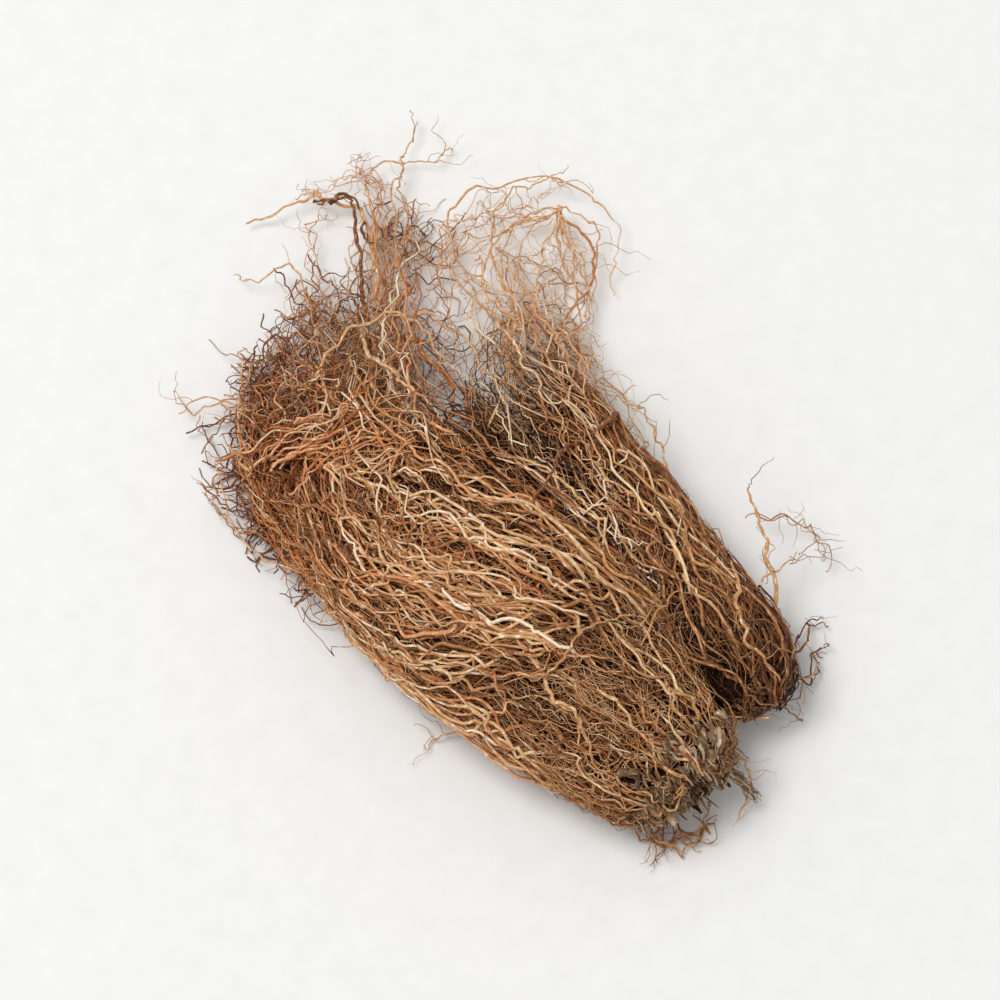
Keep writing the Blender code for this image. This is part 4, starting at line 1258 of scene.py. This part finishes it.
def crown_face():
    """The dark, pitted cut face that the stubs and fibres stand on."""
    share = np.linspace(0, 1, FACE_RINGS)[:, None]
    turn = np.arange(FACE_SIDES)[None, :] * math.tau / FACE_SIDES
    pits = rng.normal(0, PIT_SIZE, (FACE_RINGS, FACE_SIDES))
    pits += PIT_WAVE * np.sin(turn * 5 + share * 9) * share * (1 - share)
    edge = 1 + 0.05 * np.sin(turn * 7 + 1) + 0.04 * np.sin(turn * 13)
    y = CROWN_FACE - 1.5 + pits + RIM_DROP * share ** 6
    x = CROWN_AXIS[0] + CROWN_RADII[0] * share * edge * np.cos(turn)
    z = CROWN_AXIS[1] + CROWN_RADII[1] * share * edge * np.sin(turn)
    points = np.stack([x, y, z], axis=-1)
    back = points[-1] * [1, 0, 1] + [0, CROWN_FACE + FACE_DEPTH, 0]
    points = np.concatenate([points, back[None]])
    ids, quads = ring_faces(len(points), FACE_SIDES)
    faces = quads[1:].reshape(-1, 4).tolist() + [ids[1, ::-1].tolist(), ids[-1].tolist()]
    place = np.concatenate([np.array(face) for face in faces])
    ring, spot = place // FACE_SIDES, (place % FACE_SIDES) * math.tau / FACE_SIDES
    radius = np.concatenate([share[:, 0] * FACE_UV_RADIUS, [BACK_UV_RADIUS]])[ring]
    uv = 0.5 + np.stack([radius * np.cos(spot), radius * np.sin(spot)], axis=1)
    uv[-FACE_SIDES:] = 0.02 + 0.02 * np.stack([np.cos(turn[0]), np.sin(turn[0])], axis=1)
    return ringed_piece("crown_face", points, faces, uv, cut, "crown")


CHAFF_COUNT = 90
CHAFF_REACH = 14


def add_chaff(group):
    """Torn scales that lie among the roots just above the crown."""
    share = np.linspace(0, 1, SHEET_POINTS)
    for _ in range(CHAFF_COUNT):
        angle = rng.normal(1.45, 0.55)
        y = broad.start + 1 + CHAFF_REACH * rng.random() ** 1.5
        lean = rng.normal(0, 0.1)
        length = rng.uniform(3, 6)
        ys = y - length * share
        lifts = rng.uniform(2.6, 4.6) + rng.uniform(-0.5, 2.6) * share + rng.normal(0, 0.15, SHEET_POINTS)
        paths = broad.side(ys[None], angle + lean * share[None], lifts[None])
        radius = rng.uniform(0.5, 1.9)
        torn = torn_width(share)
        outline = sheet_section(rng.normal(angle, 0.8), rng.uniform(0.4, 1.3), radius)
        tone = np.clip(rng.normal([0.52], 0.13), 0.2, 0.85)
        group.add(paths, radius * torn[None], SHEET_STEPS * 2, tone, np.array([PLAIN]), outline)


def crown_strands(count, points, spread, lean, length, depth):
    """Cut stems and fibres standing out of the crown's face."""
    out = np.sqrt((np.arange(count) + rng.random(count)) / count) * spread
    angle = GOLDEN_TURN * np.arange(count) + rng.uniform(0, math.tau)
    across, up = out * np.cos(angle), out * np.sin(angle)
    foot = in_crown(across, CROWN_FACE + depth, up)
    ahead = np.stack([lean * across, np.full(count, -1.0), lean * up + rng.normal(0, 0.05, count)], axis=1)
    ahead += rng.normal(0, lean * 0.6, ahead.shape)
    ahead /= np.linalg.norm(ahead, axis=1, keepdims=True)
    reach = (depth + rng.uniform(*length, count))[:, None]
    middle = foot + ahead * reach * 0.5 + rng.normal(0, 0.4, (count, 3))
    return resampled(np.stack([foot, middle, foot + ahead * reach], axis=1), points)


SHEET_COUNT = 240
SHEET_POINTS = 7
RIM_SHEETS = 3
SHEET_THICKNESS = 0.12
SHEET_STEPS = 5


def torn_width(share):
    """A sheet's width along it, torn narrower towards its end."""
    return 1.05 - rng.uniform(0.2, 0.9) * share ** 1.7 + rng.normal(0, 0.08, len(share))


def sheet_section(angle, half_arc, radius):
    """The outline of a thin curved sheet that faces out at an angle round the crown."""
    turn = angle + np.linspace(-half_arc, half_arc, SHEET_STEPS)
    outer = np.stack([np.sin(turn), -np.cos(turn)], axis=1)
    inner = outer[::-1] * (1 - SHEET_THICKNESS / radius)
    return np.concatenate([outer, inner])


def add_sheets(group):
    """Torn pale sheaths and scales on the crown's face and lying over its rim."""
    share = np.linspace(0, 1, SHEET_POINTS)
    axis, radii = (np.array([across, 0.0, up]) for across, up in (CROWN_AXIS, CROWN_RADII))
    for i in range(SHEET_COUNT):
        on_rim = i % RIM_SHEETS == 0
        angle = rng.normal(1.7, 1.1) if i % 2 else rng.uniform(0, math.tau)
        radius = rng.uniform(0.8, 2.5)
        half_arc = rng.uniform(0.3, 1.1)
        out = rng.uniform(1.0, 1.14) if on_rim else rng.uniform(0.3, 1.06)
        outward = np.array([math.cos(angle), 0.0, math.sin(angle)])
        rim = axis + outward * radii * out
        depth = rng.uniform(5, 10) if on_rim else rng.uniform(1, 4)
        foot = rim - outward * radius + [0, CROWN_FACE + depth, 0]
        reach = depth + rng.uniform(-1.0, 4.5)
        ahead = np.array([0.0, -1.0, 0.0]) + rng.normal(0, 0.15 if on_rim else 0.45, 3)
        tip = foot + ahead * reach + outward * reach * rng.normal(0.0, 0.1 if on_rim else 0.3)
        middle = (foot + tip) / 2 + outward * rng.normal(0, 0.9)
        paths = resampled([[foot, middle, tip]], SHEET_POINTS) + rng.normal(0, 0.16, (1, SHEET_POINTS, 3))
        torn = torn_width(share)
        facing = rng.normal(angle, 0.3 if on_rim else 1.3)
        tone = np.clip(rng.normal([0.56], 0.18), 0.15, 0.95)
        outline = sheet_section(facing, half_arc, radius)
        group.add(paths, radius * torn[None], SHEET_STEPS * 2, tone, np.array([PLAIN]), outline)


crown_face()
crown = Strands("crown_stubs", straw, "cut_crown", "crown")
for _ in range(STUB_BATCHES):
    turn = np.arange(STUB_SIDES) * math.tau / STUB_SIDES
    outline = np.stack([np.cos(turn), np.sin(turn)], axis=1) * rng.uniform(0.65, 1.2, (STUB_SIDES, 1))
    paths = crown_strands(STUBS_EACH, STUB_POINTS, 0.95, 0.22, (-0.5, 4.5), 7)
    radii = taper(STUBS_EACH, STUB_POINTS, rng.uniform(1.0, 2.6, STUBS_EACH), 0.9, 0.15)
    tones = rng.normal(0.5, 0.15, STUBS_EACH)
    crown.add(paths, radii, STUB_SIDES, tones, hue_rows(STUBS_EACH, 0.0, 0.3), outline)
add_sheets(crown)
add_chaff(crown)
paths = roughened(crown_strands(FIBRE_COUNT, FIBRE_POINTS, 1.04, 0.8, (-0.5, 6.0), 6), CROWN_LOOK)
radii = taper(FIBRE_COUNT, FIBRE_POINTS, rng.uniform(0.14, 0.42, FIBRE_COUNT), 0.6)
crown.add(paths, radii, 3, rng.normal(0.56, 0.18, FIBRE_COUNT), hue_rows(FIBRE_COUNT, 0.3, 0.15))


def rim_roots(count, points):
    """Roots that hang over the crown's rim onto its face."""
    angle = rng.uniform(-0.5, math.pi + 0.5, count)
    angles = angle[:, None] + rng.normal(0, 0.12, (count, 4)).cumsum(axis=1)
    out = np.stack([rng.uniform(0.55, 0.9, count), rng.uniform(0.95, 1.1, count)], axis=1)
    face_y = CROWN_FACE - rng.uniform(0.5, 3.0, (count, 1)) + [[0.0, 2.0]]
    x = CROWN_AXIS[0] + CROWN_RADII[0] * out * np.cos(angles[:, :2])
    z = CROWN_AXIS[1] + CROWN_RADII[1] * out * np.sin(angles[:, :2])
    near = np.stack([x, face_y, z], axis=-1)
    up = np.stack([rng.uniform(-126, -120, count), rng.uniform(-112, -90, count)], axis=1)
    lifts = np.stack([rng.uniform(2, 4.5, count), rng.uniform(-2, 4, count)], axis=1)
    far = broad.side(up, angles[:, 2:], lifts)
    return roughened(resampled(np.concatenate([near, far], axis=1), points), FINE_LOOK)


paths = rim_roots(RIM_COUNT, RIM_POINTS)
add_strands(wisps, paths, (0.2, 0.55), 0.6, 4, rng.normal(0.56, 0.1, RIM_COUNT), 0.15, 0.15)
HANGING = [(-4, -128, 24), (-2, -138, 20), (0, -145, 14), (1, -149, 9)]
HANGING_COUNT, HANGING_POINTS = 22, 24
paths = roughened(resampled([HANGING] * HANGING_COUNT, HANGING_POINTS), CROWN_LOOK)
paths += rng.normal(0, 1.6, (HANGING_COUNT, 1, 3)) * np.linspace(0.3, 1, HANGING_POINTS)[None, :, None]
radii = taper(HANGING_COUNT, HANGING_POINTS, rng.uniform(0.14, 0.4, HANGING_COUNT), 0.6)
tones = rng.normal(0.56, 0.1, HANGING_COUNT)
crown.add(paths, radii, 4, tones, hue_rows(HANGING_COUNT, 0.1, 0.3))


for group in (thick, medium, fine, wandering, deep, hair, crown_end, fan, net, loose, wisps, crown):
    group.build()


# Floor, light and camera
FLOOR_REACH = 3.0
FLOOR_STOPS = [(0.3, "F2F2F0"), (0.7, "F6F6F4")]
FLOOR_MOTTLE = 90.0


def floor_material():
    """Pale paper with faint mottling."""
    material, tree, shader = new_material("floor_paper")
    place = tree.nodes.new("ShaderNodeTexCoord")
    mottle = noise(tree, place.outputs["Object"], FLOOR_MOTTLE, 3.0)
    tree.links.new(coloured(tree, mottle, FLOOR_STOPS), shader.inputs["Base Color"])
    shader.inputs["Roughness"].default_value = 0.9
    return material


def floor_piece():
    """A wide pale sheet under the clump."""
    mesh = bpy.data.meshes.new("floor")
    corners = [(x * FLOOR_REACH, y * FLOOR_REACH, 0) for x, y in ((-1, -1), (1, -1), (1, 1), (-1, 1))]
    mesh.from_pydata(corners, [], [(0, 1, 2, 3)])
    mesh.materials.append(floor_material())
    floor = bpy.data.objects.new("floor", mesh)
    bpy.context.scene.collection.objects.link(floor)


CAMERA_AZIMUTH = math.radians(-36)
CAMERA_ELEVATION = math.radians(70)
CAMERA_LENS = 250
CAMERA_SENSOR = 36
FRAME_WIDTH = 0.38
CAMERA_DISTANCE = FRAME_WIDTH * CAMERA_LENS / CAMERA_SENSOR
CAMERA_TARGET = Vector((-0.008, 0.0, 0.018))


def add_camera():
    """The photograph's camera: steeply above the crown's side."""
    data = bpy.data.cameras.new("camera")
    data.lens = CAMERA_LENS
    data.sensor_width = CAMERA_SENSOR
    data.clip_start = 0.01
    camera = bpy.data.objects.new("camera", data)
    bpy.context.scene.collection.objects.link(camera)
    ahead = Vector((math.sin(-CAMERA_AZIMUTH), math.cos(CAMERA_AZIMUTH), 0)) * math.cos(CAMERA_ELEVATION)
    ahead.z = -math.sin(CAMERA_ELEVATION)
    camera.location = CAMERA_TARGET - ahead * CAMERA_DISTANCE
    camera.rotation_euler = ahead.to_track_quat("-Z", "Y").to_euler()
    bpy.context.scene.camera = camera


def add_area_light(name, place, size, power):
    """A square soft light aimed at the clump."""
    data = bpy.data.lights.new(name, "AREA")
    data.size = size
    data.energy = power
    light = bpy.data.objects.new(name, data)
    light.location = place
    light.rotation_euler = (Vector((0, 0, 0)) - Vector(place)).to_track_quat("-Z", "Y").to_euler()
    bpy.context.scene.collection.objects.link(light)


def add_world(colour, strength):
    """Even soft light from all round."""
    world = bpy.data.worlds.new("studio")
    world.use_nodes = True
    background = world.node_tree.nodes["Background"]
    background.inputs["Color"].default_value = linear(colour)
    background.inputs["Strength"].default_value = strength
    bpy.context.scene.world = world


floor_piece()
add_camera()
add_world("FFFFFF", 0.54)
add_area_light("key", (-1.3, 1.4, 4.6), 2.4, 136)
bpy.context.scene.view_settings.view_transform = "Standard"
